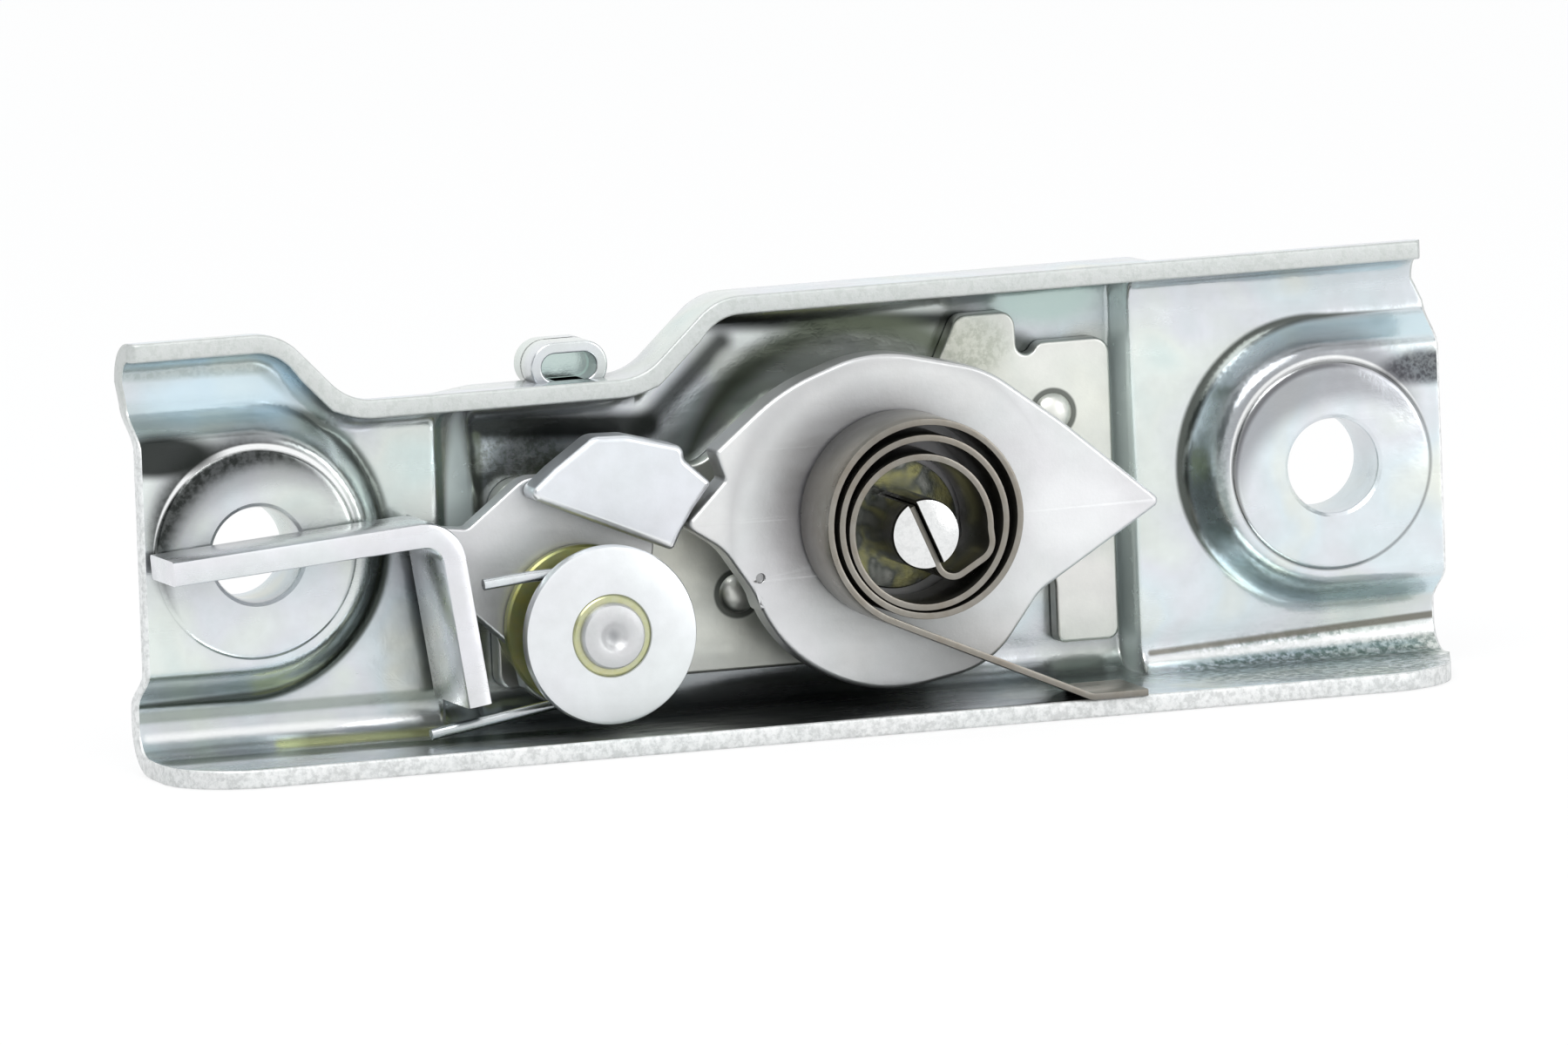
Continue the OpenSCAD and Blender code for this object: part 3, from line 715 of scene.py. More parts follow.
@dataclass(frozen=True)
class Streak(PaintedLightOrStain):
    """Straight mark with round ends.

    Args:
        start: one end in the case's frame, in millimetres.
        end: the other end.
        half: half its width.
    """

    start: Triple
    end: Triple
    half: float

    def reach(self, g: Graph) -> Socket:
        """Distance from the line between the two ends.

        Args:
            g: the graph of the material.

        Returns:
            The distance; 1 at the rim.
        """
        run = (Vector(self.end) - Vector(self.start)) * MM
        place = g.vector("SUBTRACT", g.coord, DATUM.row(*self.start))
        share = g.levels(g.vector("DOT_PRODUCT", place, run), 0.0, run.length_squared, 0.0, 1.0)
        spread = g.fed("ShaderNodeCombineXYZ", {axis: share for axis in range(3)}).outputs[0]
        away = g.vector("SUBTRACT", place, g.vector("MULTIPLY", spread, run))
        return g.maths("DIVIDE", g.vector("LENGTH", away), self.half * MM)


@dataclass(frozen=True)
class Ring(PaintedLightOrStain):
    """Round line about an axis along Y.

    Args:
        centre: X and Z of the axis, in millimetres.
        radius: radius of the line.
        half: half its width.
        open_to: -1 or 1 where the line runs straight on to that side, 0 where it is a full circle.
        towards: angle at which the line is strongest, or None where it is even.
    """

    centre: Point
    radius: float
    half: float
    open_to: int = 0
    towards: float | None = None

    def reach(self, g: Graph) -> Socket:
        """Distance from the round line.

        Args:
            g: the graph of the material.

        Returns:
            The distance; 1 at the rim.
        """
        place = g.vector("SUBTRACT", g.coord, DATUM.row(self.centre[0], 0.0, self.centre[1]))
        split = g.fed("ShaderNodeSeparateXYZ", {0: place}).outputs
        across = split["X"]
        if self.open_to:
            across = g.maths("MAXIMUM", g.maths("MULTIPLY", across, -self.open_to), 0.0)
        flat = g.fed("ShaderNodeCombineXYZ", {"X": across, "Z": split["Z"]}).outputs[0]
        off = g.maths("SUBTRACT", g.vector("LENGTH", flat), self.radius * MM)
        gap = g.maths("DIVIDE", g.maths("ABSOLUTE", off), self.half * MM)
        if self.towards is None:
            return gap
        t = math.radians(self.towards)
        strong = Vector((math.cos(t), 0.0, math.sin(t)))
        facing = g.vector("DOT_PRODUCT", g.vector("NORMALIZE", place), strong)
        return g.maths("ADD", gap, g.levels(facing, -0.2, 0.85, 1.0, 0.0))


@dataclass(frozen=True)
class Finish:
    """Satin metal with soft tints, grain and fine scratches, painted shade in its corners, and painted light
    and shade in patches on it.

    Args:
        name: name of the material.
        slot: a slot name; not used.
        base: main colour.
        tints: colours that drift over it in broad patches.
        tint: strength of those patches.
        metallic: metallic share.
        rough: lowest and highest roughness.
        grain: strength of the fine grain.
        dent: strength of the broad waviness.
        patch: size of the patches, as noise scale per millimetre.
        painted_light_and_stains: patches of another tone; most are painted shade, shadow, highlight or
            reflection.
        speckle: share of fine light and dark spots.
        painted_corner_shade: how much painted shade darkens the corners.
    """

    name: str
    slot: str
    base: Colour
    tints: tuple[Colour, ...]
    tint: float = 0.5
    metallic: float = 1.0
    rough: tuple[float, float] = (0.24, 0.36)
    grain: float = 0.08
    dent: float = 0.15
    patch: float = 0.07
    painted_light_and_stains: tuple[PaintedLightOrStain, ...] = ()
    speckle: float = 0.0
    painted_corner_shade: float = 0.5

    GRIME: ClassVar[Colour] = (0.45, 0.46, 0.45)
    CORNER_SHADE: ClassVar[Colour] = (0.05, 0.055, 0.05)
    CORNER_SHADE_REACH: ClassVar[float] = 7.0
    DOTS: ClassVar[Stops] = ((0.40, (0.34, 0.35, 0.35)), (0.5, (0.7, 0.71, 0.71)), (0.6, (0.95, 0.95, 0.95)))

    def coat(self, g: Graph, space: Socket, spots: Socket) -> Socket:
        """Colour under the painted marks, with tints, grime, spots and painted shade in the corners.

        Args:
            g: the graph of the material.
            space: coordinates in millimetres.
            spots: value of the fine spots.

        Returns:
            The colour.
        """
        last = max(1, len(self.tints) - 1)
        stops = [(0.3 + 0.4 * k / last, colour) for k, colour in enumerate(self.tints)]
        drift = g.noise(space, self.patch, 2.0, 0.5, 0.4)
        tinted = g.mix(self.tint, self.base, g.ramp(drift, stops))
        cloud = g.noise(space, self.patch * 5, 4.0, 0.6)
        soiled = g.mix(g.levels(cloud, 0.35, 0.75, 0.0, 0.2), tinted, self.GRIME)
        if self.speckle > 0:
            soiled = g.mix(self.speckle, soiled, g.ramp(spots, self.DOTS))
        # Painted shade: where ambient occlusion finds corners and hollows, the colour darkens towards
        # near-black.
        occluded = g.fed("ShaderNodeAmbientOcclusion", {"Distance": self.CORNER_SHADE_REACH * MM}, samples=6)
        depth = g.levels(occluded.outputs["AO"], 0.25, 0.95, self.painted_corner_shade, 0.0)
        return g.mix(depth, soiled, self.CORNER_SHADE)

    def relief(self, g: Graph, space: Socket) -> Socket:
        """Normal with waves, grain and fine scratches.

        Args:
            g: the graph of the material.
            space: coordinates in millimetres.

        Returns:
            The normal.
        """
        waves = g.noise(space, 0.16, 2.0, 0.5)
        fine = g.noise(space, 2.6, 4.0, 0.62)
        scratch = g.noise(g.mapped((0.05, 3.0, 3.0), (0.0, 0.12, 0.0)), 1.6, 3.0, 0.6)
        normal = g.bump(waves, self.dent, 0.6)
        normal = g.bump(fine, self.grain, 0.12, normal)
        return g.bump(scratch, self.grain * 0.5, 0.05, normal)

    def build(self) -> bpy.types.Material:
        """Makes the node material.

        Returns:
            The material.
        """
        g = Graph.material(self.name)
        space = g.mapped((1, 1, 1))
        spots = g.noise(space, 1.5, 4.0, 0.7)
        colour = self.coat(g, space, spots)
        metal: Socket | float = self.metallic
        for overlay in self.painted_light_and_stains:
            mask = overlay.mask(g, spots)
            colour = g.mix(mask, colour, overlay.colour)
            if overlay.dull > 0:
                metal = g.maths("MULTIPLY", metal, g.levels(mask, 0.0, 1.0, 1.0, 1.0 - overlay.dull))
        smear = g.noise(g.mapped((0.06, 0.5, 0.5)), 1.0, 4.0, 0.6)
        inputs = {
            "Metallic": metal,
            "Base Color": colour,
            "Roughness": g.levels(smear, 0.3, 0.7, *self.rough),
            "Normal": self.relief(g, space),
        }
        shader = g.fed("ShaderNodeBsdfPrincipled", inputs)
        g.link(shader.outputs["BSDF"], g.out.inputs["Surface"])
        return g.owner


class Finishes:
    """The finishes of the lock, each built once."""

    # Colours of painted shade and of painted highlight, used in the marks below.
    PAINTED_SHADE_BLACK: Colour = (0.015, 0.018, 0.016)
    PAINTED_SHADE_DARK: Colour = (0.06, 0.07, 0.06)
    PAINTED_SHADE_OLIVE: Colour = (0.12, 0.14, 0.10)
    PAINTED_HIGHLIGHT: Colour = (0.97, 0.98, 0.98)
    ZINC_TINTS: tuple[Colour, ...] = (
        (0.62, 0.77, 0.74), (0.80, 0.86, 0.80), (0.76, 0.78, 0.85), (0.72, 0.83, 0.89), (0.84, 0.86, 0.75),
    )
    ZINC = Finish(
        "zinc_sheet", "zinc_sheet", (0.75, 0.79, 0.79), ZINC_TINTS,
        tint=0.6, metallic=0.9, rough=(0.16, 0.30), grain=0.12, dent=0.35,
        painted_light_and_stains=(
            # Painted shade: near-black and dark teal on the flange under the rotor and the bearing plate.
            Patch(PAINTED_SHADE_BLACK, (63, -7, 2), (30, 22, 5), strength=0.93, core=0.3),
            Patch((0.20, 0.25, 0.23), (92, -4, 2), (12, 9, 4), strength=0.85, speckle=0.4),
            # Painted shade: dark grey and olive in the recess above the pawl.
            Patch((0.20, 0.22, 0.20), (40, 4, 27), (7, 4, 5), strength=0.8, speckle=0.7),
            Patch(PAINTED_SHADE_OLIVE, (44.5, 4, 25), (5, 4, 3), strength=0.85, speckle=0.3),
            # Painted shadow: dark lines that the lip and the rotor cast on the recess wall, a painted paler
            # band between them, and painted shadow under the plate's tab.
            Streak(PAINTED_SHADE_BLACK, (36.5, 4, 30.0), (53.5, 4, 28.8), 2.0, strength=0.96, core=0.3),
            Streak(PAINTED_SHADE_BLACK, (52.5, 4, 28.2), (61.2, 4, 36.2), 1.9, core=0.1),
            Streak(PAINTED_SHADE_BLACK, (60.0, 3.5, 38.2), (85.4, 4, 36.4), 1.5, strength=0.95, core=0.2),
            Streak((0.45, 0.47, 0.44), (62.0, 4, 34.0), (86.0, 4, 34.6), 2.2, strength=0.6),
            Ring(PAINTED_SHADE_OLIVE, AXLE, 17.6, 2.4, towards=95, core=0.1),
            Patch(PAINTED_SHADE_DARK, (90.6, 4, 33.0), (3.2, 3, 2.6), strength=0.85),
            # Painted shade inside the eye, and painted teal reflection beside the plate's tab.
            Patch((0.60, 0.72, 0.69), (44.4, 2.0, 35.7), (3.6, 0.8, 2.4), core=0.7),
            Patch((0.44, 0.58, 0.54), (94, 4, 38.0), (8, 5, 3.5), strength=0.75),
            # Painted reflection: pale, less metallic bands on the recess's left slope and right step, with
            # painted dark lines at the slope and at the recess's corner.
            Patch((0.74, 0.84, 0.83), (33.9, 2, 18), (2.6, 5, 17), core=0.6, dull=0.8),
            Streak((0.30, 0.42, 0.41), (31.3, 0.6, 5), (31.3, 0.6, 34), 0.8, strength=0.7),
            Streak(PAINTED_SHADE_OLIVE, (36.2, 4, 6), (36.2, 4, 29), 0.8, strength=0.7),
            Patch((0.72, 0.82, 0.80), (100.7, 2, 20), (0.9, 5, 26), core=0.6, dull=0.75),
            # Painted reflection: dark arcs and teal bands on the seats' flanks.
            Ring((0.40, 0.48, 0.47), LEFT, 12.9, 2.6, -1, strength=0.6),
            Ring(PAINTED_SHADE_DARK, LEFT, 14.0, 1.1, -1, 10, strength=0.85),
            Ring(PAINTED_SHADE_DARK, LEFT, 14.1, 0.8, -1, -60),
            Ring((0.62, 0.78, 0.84), RIGHT, 12.6, 1.4, 1, strength=0.7),
            Ring(PAINTED_SHADE_DARK, RIGHT, 13.9, 0.8, 1, 150, strength=0.95),
            Ring((0.20, 0.24, 0.24), RIGHT, 11.2, 1.3, 1, 135, strength=0.75, speckle=0.3),
            Ring((0.24, 0.30, 0.28), RIGHT, 12.0, 1.6, 1, 215, strength=0.6, speckle=0.3),
            # Painted shade on the upper part of each seat disc, and painted highlight and dark lines on their
            # rims.
            Ring((0.30, 0.31, 0.32), LEFT, 9.2, 4.4, 0, 110, strength=0.75),
            Ring(PAINTED_SHADE_BLACK, LEFT, 9.6, 2.6, 0, 122, strength=0.97, speckle=0.15, core=0.2),
            Ring((0.34, 0.35, 0.37), RIGHT, 9.4, 5.0, 0, 105, strength=0.85),
            Ring((0.14, 0.14, 0.15), RIGHT, 9.9, 0.8, 0, 120, strength=0.85),
            Ring(PAINTED_HIGHLIGHT, LEFT, 10.25, 0.4, 0, 90),
            Ring(PAINTED_HIGHLIGHT, RIGHT, 10.25, 0.4, 0, 110, strength=0.8),
            Ring((0.30, 0.31, 0.31), RIGHT, 10.0, 0.3, strength=0.6),
            # Painted shade under the lip's ends, a painted pale blue reflection at the left end, and painted
            # shadow lines under the lip at the left.
            Patch(PAINTED_SHADE_BLACK, (2.2, -2, 30.6), (7.4, 6, 2.6), strength=0.96, core=0.6),
            Patch((0.05, 0.05, 0.06), (129.6, -3, 29.4), (6.0, 6, 2.2), strength=0.94, core=0.5, speckle=0.2),
            Patch((0.66, 0.84, 0.95), (10, 0, 35.5), (12, 5, 3.6), strength=0.65),
            Streak((0.30, 0.36, 0.34), (-1, 0, 38.5), (14, 0, 38.2), 1.2, strength=0.6, speckle=0.3),
            Streak((0.22, 0.28, 0.27), (14, 1, 38.0), (22.0, 1, 30.6), 1.6, strength=0.75),
            # Painted dark reflection on the flange's right part, broken up by fine spots.
            Patch((0.16, 0.22, 0.20), (118, -6, 2.4), (20, 12, 3.2), strength=0.95, speckle=1.0, core=0.6),
            # Painted shade and painted highlights along the bends at the flange's foot, and a painted dark
            # green reflection on the flange at the left.
            Streak((0.14, 0.13, 0.10), (102, -0.4, 3.6), (131, 0, 5.0), 0.5, strength=0.85),
            Streak(PAINTED_HIGHLIGHT, (102, -1.0, 2.9), (131, -0.6, 3.9), 0.9),
            Streak((0.22, 0.27, 0.22), (-1, 0, 5.4), (34, 0, 5.4), 0.8, strength=0.6),
            Streak(PAINTED_HIGHLIGHT, (1, -0.7, 3.6), (36, -0.7, 3.4), 0.8, strength=0.85),
            Streak((0.88, 0.90, 0.46), (14, -2.0, 2.3), (29, -2.0, 2.3), 1.3, strength=0.95),
            Streak((0.05, 0.09, 0.05), (2, -6.2, 1.8), (46, -7.5, 1.8), 2.8, strength=0.92),
            # Painted shade: grey bands on the top of the lip.
            Streak((0.48, 0.51, 0.49), (58, 0.5, 41.5), (131, -1.5, 41.5), 3.4, strength=0.7, speckle=0.3),
            Streak((0.50, 0.54, 0.52), (-2, -1.5, 41.5), (14, -1.5, 41.5), 3.4, strength=0.6, speckle=0.3),
        ),
    )
    BACK = Finish(
        "zinc_back", "zinc_sheet", (0.75, 0.79, 0.79), ZINC_TINTS,
        tint=0.6, metallic=0.9, rough=(0.16, 0.30), grain=0.14, dent=0.35, painted_corner_shade=0.7,
        painted_light_and_stains=(
            # Painted shade: darker rings on the seats' bends and just outside the washers, and a darker band
            # along the foot; then a paler teal patch.
            Ring((0.30, 0.34, 0.33), LEFT, 13.4, 1.6, -1, strength=0.6, speckle=0.3),
            Ring((0.30, 0.34, 0.33), RIGHT, 13.4, 1.6, 1, strength=0.6, speckle=0.3),
            Ring((0.34, 0.36, 0.34), AXLE, 8.5, 0.8, strength=0.6, speckle=0.4),
            Ring((0.34, 0.36, 0.34), PIVOT, 6.4, 0.8, strength=0.6, speckle=0.4),
            Streak((0.42, 0.46, 0.44), (36, 5.8, 4.2), (100, 5.8, 4.2), 2.6, strength=0.6, speckle=0.5),
            Patch((0.50, 0.60, 0.57), (88, 5.8, 33), (14, 3, 5), strength=0.5, speckle=0.6),
        ),
    )
    EDGE = Finish(
        "sheared_edge", "zinc_sheet", (0.80, 0.81, 0.81),
        ((0.72, 0.76, 0.75), (0.86, 0.86, 0.85)),
        metallic=0.55, rough=(0.35, 0.5), grain=0.35, dent=0.2, speckle=0.34, painted_corner_shade=0.2,
        painted_light_and_stains=(
            # Painted shade: the sheet's edges round the lip are darker than those of the flange.
            Patch((0.44, 0.47, 0.45), (65, -6, 38.5), (110, 14, 9), strength=0.8, speckle=0.5, core=0.75),
        ),
    )
    CREAM = Finish(
        "cream_plate", "cream_plate", (0.80, 0.81, 0.74),
        ((0.84, 0.84, 0.74), (0.78, 0.82, 0.78), (0.80, 0.78, 0.80)),
        metallic=0.85, rough=(0.30, 0.42), grain=0.10, dent=0.2,
        painted_light_and_stains=(
            # Painted shade round the rivets, on the plate's tab and on the plate's lower right.
            Ring(PAINTED_SHADE_DARK, RIVETS[0], 2.1, 0.45, strength=0.85),
            Ring(PAINTED_SHADE_DARK, RIVETS[1], 2.1, 0.45, strength=0.85),
            Patch((0.30, 0.33, 0.26), (86, 2, 34), (5, 3, 4), strength=0.6, speckle=0.5),
            Patch((0.56, 0.58, 0.56), (96.5, 2, 15), (5, 3, 3), strength=0.5, speckle=0.3),
        ),
    )
    PALE = Finish(
        "pale_steel", "pale_steel", (0.74, 0.745, 0.755),
        ((0.75, 0.74, 0.77), (0.73, 0.76, 0.76), (0.78, 0.77, 0.75)),
        metallic=0.85, rough=(0.32, 0.44), grain=0.12, dent=0.15,
        painted_light_and_stains=(
            # Painted shadow round the spring's coil, painted shade along the rotor's upper edge, and a
            # painted highlight on its beak.
            Patch((0.30, 0.29, 0.31), (71.5, -7.5, 22.5), (13.0, 3, 12.5), strength=0.7),
            Ring((0.40, 0.40, 0.41), AXLE, 16.4, 2.0, 0, 115, strength=0.45, core=0.1),
            Patch((0.86, 0.87, 0.88), (92, -7.5, 19), (7, 3, 5), strength=0.5),
        ),
    )
    WASHER = Finish(
        "washer_steel", "pale_steel", (0.80, 0.82, 0.83),
        ((0.78, 0.84, 0.84), (0.80, 0.80, 0.86)),
        tint=0.4, metallic=0.9, rough=(0.30, 0.38), grain=0.06, dent=0.08,
    )
    TOOTH = Finish(
        "tooth_steel", "pale_steel", (0.76, 0.79, 0.82),
        ((0.74, 0.80, 0.82), (0.78, 0.78, 0.85)),
        tint=0.4, metallic=0.9, rough=(0.28, 0.38), dent=0.1,
        painted_light_and_stains=(
            # Painted highlight along the tooth's lower edge, and painted shade in the gap next to the rotor.
            Streak(PAINTED_HIGHLIGHT, (37.6, -7.3, 24.3), (51.8, -7.3, 18.3), 0.8, strength=0.95),
            Streak(PAINTED_SHADE_OLIVE, (51.9, -6.5, 29.4), (56.2, -6.5, 24.4), 0.8, strength=0.7, speckle=0.4),
        ),
    )
    RIVET = Finish(
        "plate_rivet", "cream_plate", (0.86, 0.87, 0.82),
        ((0.84, 0.84, 0.76), (0.86, 0.88, 0.86)),
        tint=0.4, metallic=0.8, rough=(0.3, 0.42), grain=0.12, dent=0.1, painted_corner_shade=0.1,
        painted_light_and_stains=(
            # Painted shade: dark crescents round the rivet heads.
            Ring(PAINTED_SHADE_DARK, RIVETS[0], 1.7, 0.55, 0, 225, core=0.1),
            Ring(PAINTED_SHADE_DARK, RIVETS[1], 1.7, 0.55, 0, 205, core=0.1),
        ),
    )
    HEAD = Finish(
        "rivet_head", "pale_steel", (0.60, 0.61, 0.62),
        ((0.56, 0.58, 0.58), (0.66, 0.64, 0.66)),
        tint=0.4, metallic=0.85, rough=(0.42, 0.52), grain=0.2, dent=0.1, patch=0.3,
        painted_light_and_stains=(
            # Painted shade in the dimple of the head.
            Patch((0.28, 0.29, 0.30), (PIVOT[0], -13.5, PIVOT[1]), (1.0, 2, 1.0), strength=0.8, core=0.1),
        ),
    )
    STRAP = Finish(
        "strap_zinc", "pale_steel", (0.78, 0.80, 0.82),
        ((0.74, 0.80, 0.80), (0.80, 0.78, 0.84), (0.80, 0.80, 0.78)),
        tint=0.4, metallic=0.95, rough=(0.22, 0.36), grain=0.10, dent=0.25,
    )
    YELLOW = Finish(
        "yellow_bush", "yellow_bush", (0.52, 0.51, 0.17),
        ((0.58, 0.55, 0.14), (0.45, 0.52, 0.22), (0.62, 0.57, 0.24)),
        tint=0.6, metallic=0.9, rough=(0.28, 0.4), dent=0.1, patch=0.3,
        painted_light_and_stains=(
            Patch((0.60, 0.61, 0.47), (PIVOT[0], -13.1, PIVOT[1]), (6, 1.2, 6), strength=0.8, speckle=0.3),
        ),
    )
    HUB = Finish(
        # Painted reflection: near-black, olive and pale patches stand for what the collar mirrors inside the
        # coil.
        "collar_painted_reflection", "yellow_bush", (0.20, 0.20, 0.17),
        ((0.03, 0.03, 0.03), (0.42, 0.40, 0.14), (0.07, 0.08, 0.07), (0.50, 0.50, 0.46)),
        tint=0.9, rough=(0.14, 0.28), grain=0.15, dent=0.3, patch=0.3,
    )
    SPRING = Finish(
        "spring_steel", "spring_steel", (0.245, 0.225, 0.195),
        ((0.25, 0.22, 0.18), (0.28, 0.27, 0.24)),
        metallic=0.95, rough=(0.26, 0.38), dent=0.08, patch=0.2,
        # Painted shadow on the upper left of the coil.
        painted_light_and_stains=(Patch((0.10, 0.10, 0.09), (70, -9, 29), (8, 9, 6), strength=0.8),),
    )
    WIRE = Finish(
        "wire_zinc", "zinc_sheet", (0.74, 0.78, 0.80),
        ((0.70, 0.78, 0.78), (0.78, 0.78, 0.84)),
        tint=0.4, rough=(0.2, 0.3), grain=0.04, dent=0.05, patch=0.3,
    )
    SHAFT = Finish(
        "bright_shaft", "pale_steel", (0.86, 0.87, 0.87),
        ((0.84, 0.86, 0.86), (0.88, 0.87, 0.86)),
        tint=0.3, rough=(0.14, 0.24), grain=0.15, dent=0.1, patch=0.3, speckle=0.2,
    )
    _built: dict[str, bpy.types.Material] = {}

    @classmethod
    def build(cls, finish: Finish) -> bpy.types.Material:
        """Gives the material of a finish, made at its first use.

        Args:
            finish: the finish.

        Returns:
            The material.
        """
        if finish.name not in cls._built:
            cls._built[finish.name] = finish.build()
        return cls._built[finish.name]

    @classmethod
    def dress(cls, obj: Thing, finish: Finish) -> Thing:
        """Gives an object a finish.

        Args:
            obj: the piece.
            finish: its finish.

        Returns:
            The same object.
        """
        obj.data.materials.clear()
        obj.data.materials.append(cls.build(finish))
        return obj


def settle(obj: Thing, finish: Finish, body: Body, *nodes: str) -> Thing:
    """Dresses a piece, lets it ride on a body and stand for CAD nodes.

    Args:
        obj: the piece.
        finish: its finish.
        body: the body that it moves with.
        nodes: the CAD nodes that it replaces.

    Returns:
        The same object.
    """
    Finishes.dress(obj, finish)
    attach(obj, body.value)
    if nodes:
        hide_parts(*nodes)
    log.info("piece %s: %d faces", obj.name, len(obj.data.polygons))
    return obj


def wind(
    obj: Thing, finish: Finish, path: Sequence[Triple], share: Sequence[float],
    moving: Body, pivot: Point, node: str,
) -> None:
    """Dresses a spring, bakes its place into its mesh and works out how far each vertex would follow the
    turning body; these shares are not applied.

    Args:
        obj: the spring.
        finish: its finish.
        path: its middle line, in the case's frame.
        share: the share of the turn that each point of the line takes part in.
        moving: the body that turns.
        pivot: X and Z of the axis.
        node: the CAD node that it replaces.
    """
    Finishes.dress(obj, finish)
    x, z = pivot
    DATUM.row(x - 12, 0, z)
    DATUM.row(x, 0, z)
    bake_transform(obj)
    count = len(obj.data.vertices)
    co = np.zeros(count * 3)
    obj.data.vertices.foreach_get("co", co)
    line = np.array(path, float) * MM + np.array(DATUM.origin)
    axes = [0, 2] if np.ptp(line[:, 1]) == 0 else [0, 1, 2]
    gap = ((co.reshape(-1, 1, 3) - line[None]) ** 2)[:, :, axes]
    weights = np.array(share, np.float32)[gap.sum(-1).argmin(1)]
    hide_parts(node)
    log.info("piece %s: %d faces, winds with %s", obj.name, len(obj.data.polygons), moving.value)


@dataclass
class Case:
    """The pressed sheet: wall, lip, flange, recess, seats and eye."""

    sizes: Sizes = SIZES
    top: tuple[Point, ...] = (
        (-4.0, 41.5), (14.7, 41.5), (21.4, 34.4), (50.8, 34.4), (58.5, 41.5), (136.0, 41.5),
    )
    top_r: float = 6.0
    plan: tuple[Point, ...] = (
        (-4.0, 0.0), (30.6, 0.0), (35.7, 4.0), (100.4, 4.0), (101.0, 0.0), (136.0, 0.0),
    )
    plan_r: tuple[float, ...] = (0.0, 1.6, 1.6, 0.45, 0.45, 0.0)
    corner_left: float = 8.0
    corner_right: float = 9.0
    taper: float = 4.0
    lip_corner: float = 1.0
    rim: float = 0.28
    seat_foot: float = 14.4
    seat_top: float = 10.6
    seat_h: float = 3.8
    seat_front: float = -4.4
    opening_r: float = 8.6
    eye_left: float = 40.5
    eye_width: float = 7.7
    eye_height: float = 3.7
    eye_wall: float = 1.1
    eye_ys: Point = (-0.7, 4.6)
    web_ys: Point = (2.0, 2.8)
    step: float = 0.55
    least_step: float = 0.045
    end_step: float = 0.3
    fine_runs: tuple[Triple, ...] = ((99.4, 103.4, 0.11), (29.6, 37.0, 0.27))
    dip_run: float = 3.0
    dip_step: float = 0.3
    lip_rows: int = 5
    bend_rows: int = 10
    wall_rows: int = 62
    flange_rows: int = 14
    over_run: float = 3.0
    over_fade: float = 14.0

    def columns(self) -> np.ndarray:
        """Stations along the case, closer where the sheet bends.

        Returns:
            The stations, from one end to the other.
        """
        end = self.sizes.length
        parts = [np.arange(self.step, end, self.step)]
        parts.append(self.corner_left * (1 - np.cos(np.linspace(0.3, math.pi / 2, 14))))
        parts += [np.arange(*run) for run in self.fine_runs]
        parts += [np.arange(x - self.dip_run, x + self.dip_run, self.dip_step) for x, _ in self.top[1:-1]]
        x = np.unique(np.round(np.concatenate(parts), 3))
        x = x[np.concatenate([[True], np.diff(x) > self.least_step])]
        return np.concatenate([[0.0], x[(x > self.end_step) & (x < end - self.end_step)], [end]])

    @staticmethod
    def along(path: Sequence[Point], radii: Sequence[float], x: np.ndarray) -> np.ndarray:
        """Height of a path with round corners.

        Args:
            path: its corners.
            radii: radius of each corner.
            x: the stations.

        Returns:
            The height at each station.
        """
        pts: list[Point] = [path[0]]
        for i in range(1, len(path) - 1):
            pts += arc_at(path[i - 1], path[i], path[i + 1], radii[i], 12)
        pts.append(path[-1])
        px, pz = np.array(pts).T
        return np.interp(x, px, pz)

    def back_plan(self) -> tuple[Point, ...]:
        """Plan of the back of the wall.

        Returns:
            Its corners.
        """
        t = self.sizes.sheet
        pts = []
        for i, (x, y) in enumerate(self.plan):
            a, b = self.turn(i - 1), self.turn(i)
            m, half = (a + b) / 2, (b - a) / 2
            pts.append((x - t * math.sin(m) / math.cos(half), y + t * math.cos(m) / math.cos(half)))
        return tuple(pts)

    def turn(self, i: int) -> float:
        """Direction of a run of the plan.

        Args:
            i: number of the run.

        Returns:
            The direction in radians, 0 beyond the ends.
        """
        if i < 0 or i > len(self.plan) - 2:
            return 0.0
        (x0, y0), (x1, y1) = self.plan[i], self.plan[i + 1]
        return math.atan2(y1 - y0, x1 - x0)

    def seat_at(self, x: np.ndarray, z: np.ndarray) -> np.ndarray:
        """How far the seats lift the wall towards the viewer.

        Args:
            x: stations along the case.
            z: heights at the stations.

        Returns:
            The lift at each of them.
        """
        out = np.zeros_like(x)
        for (cx, cz), sign in ((LEFT, -1.0), (RIGHT, 1.0)):
            dx = np.where((x - cx) * sign > 0, 0.0, x - cx)
            d = np.hypot(dx, z - cz)
            share = np.clip((self.seat_foot - d) / (self.seat_foot - self.seat_top), 0, 1)
            out = np.maximum(out, self.seat_h * (1 - np.cos(math.pi * share)) / 2)
        return out

    @staticmethod
    def cornered(depth: float, r: float, x: np.ndarray) -> np.ndarray:
        """Edge at a depth, with a round corner where x is 0."""
        near = r - np.minimum(x, r)
        return -depth + r - np.sqrt(np.maximum(0, r * r - near**2))

    def flange_front(self, x: np.ndarray) -> np.ndarray:
        """Y of the front edge of the flange.

        Args:
            x: stations along the case.

        Returns:
            The Y at each station.
        """
        s = self.sizes
        y = self.cornered(s.flange_depth, self.corner_left, x)
        end = (s.length, -s.lip_depth - 0.4)
        corner = (s.length - self.taper, -s.flange_depth)
        arc = arc_at((0, -s.flange_depth), corner, end, self.corner_right, 16)
        px, py = np.array(arc + [end]).T
        far = x > px[0]
        y[far] = np.interp(x[far], px, py)
        return y

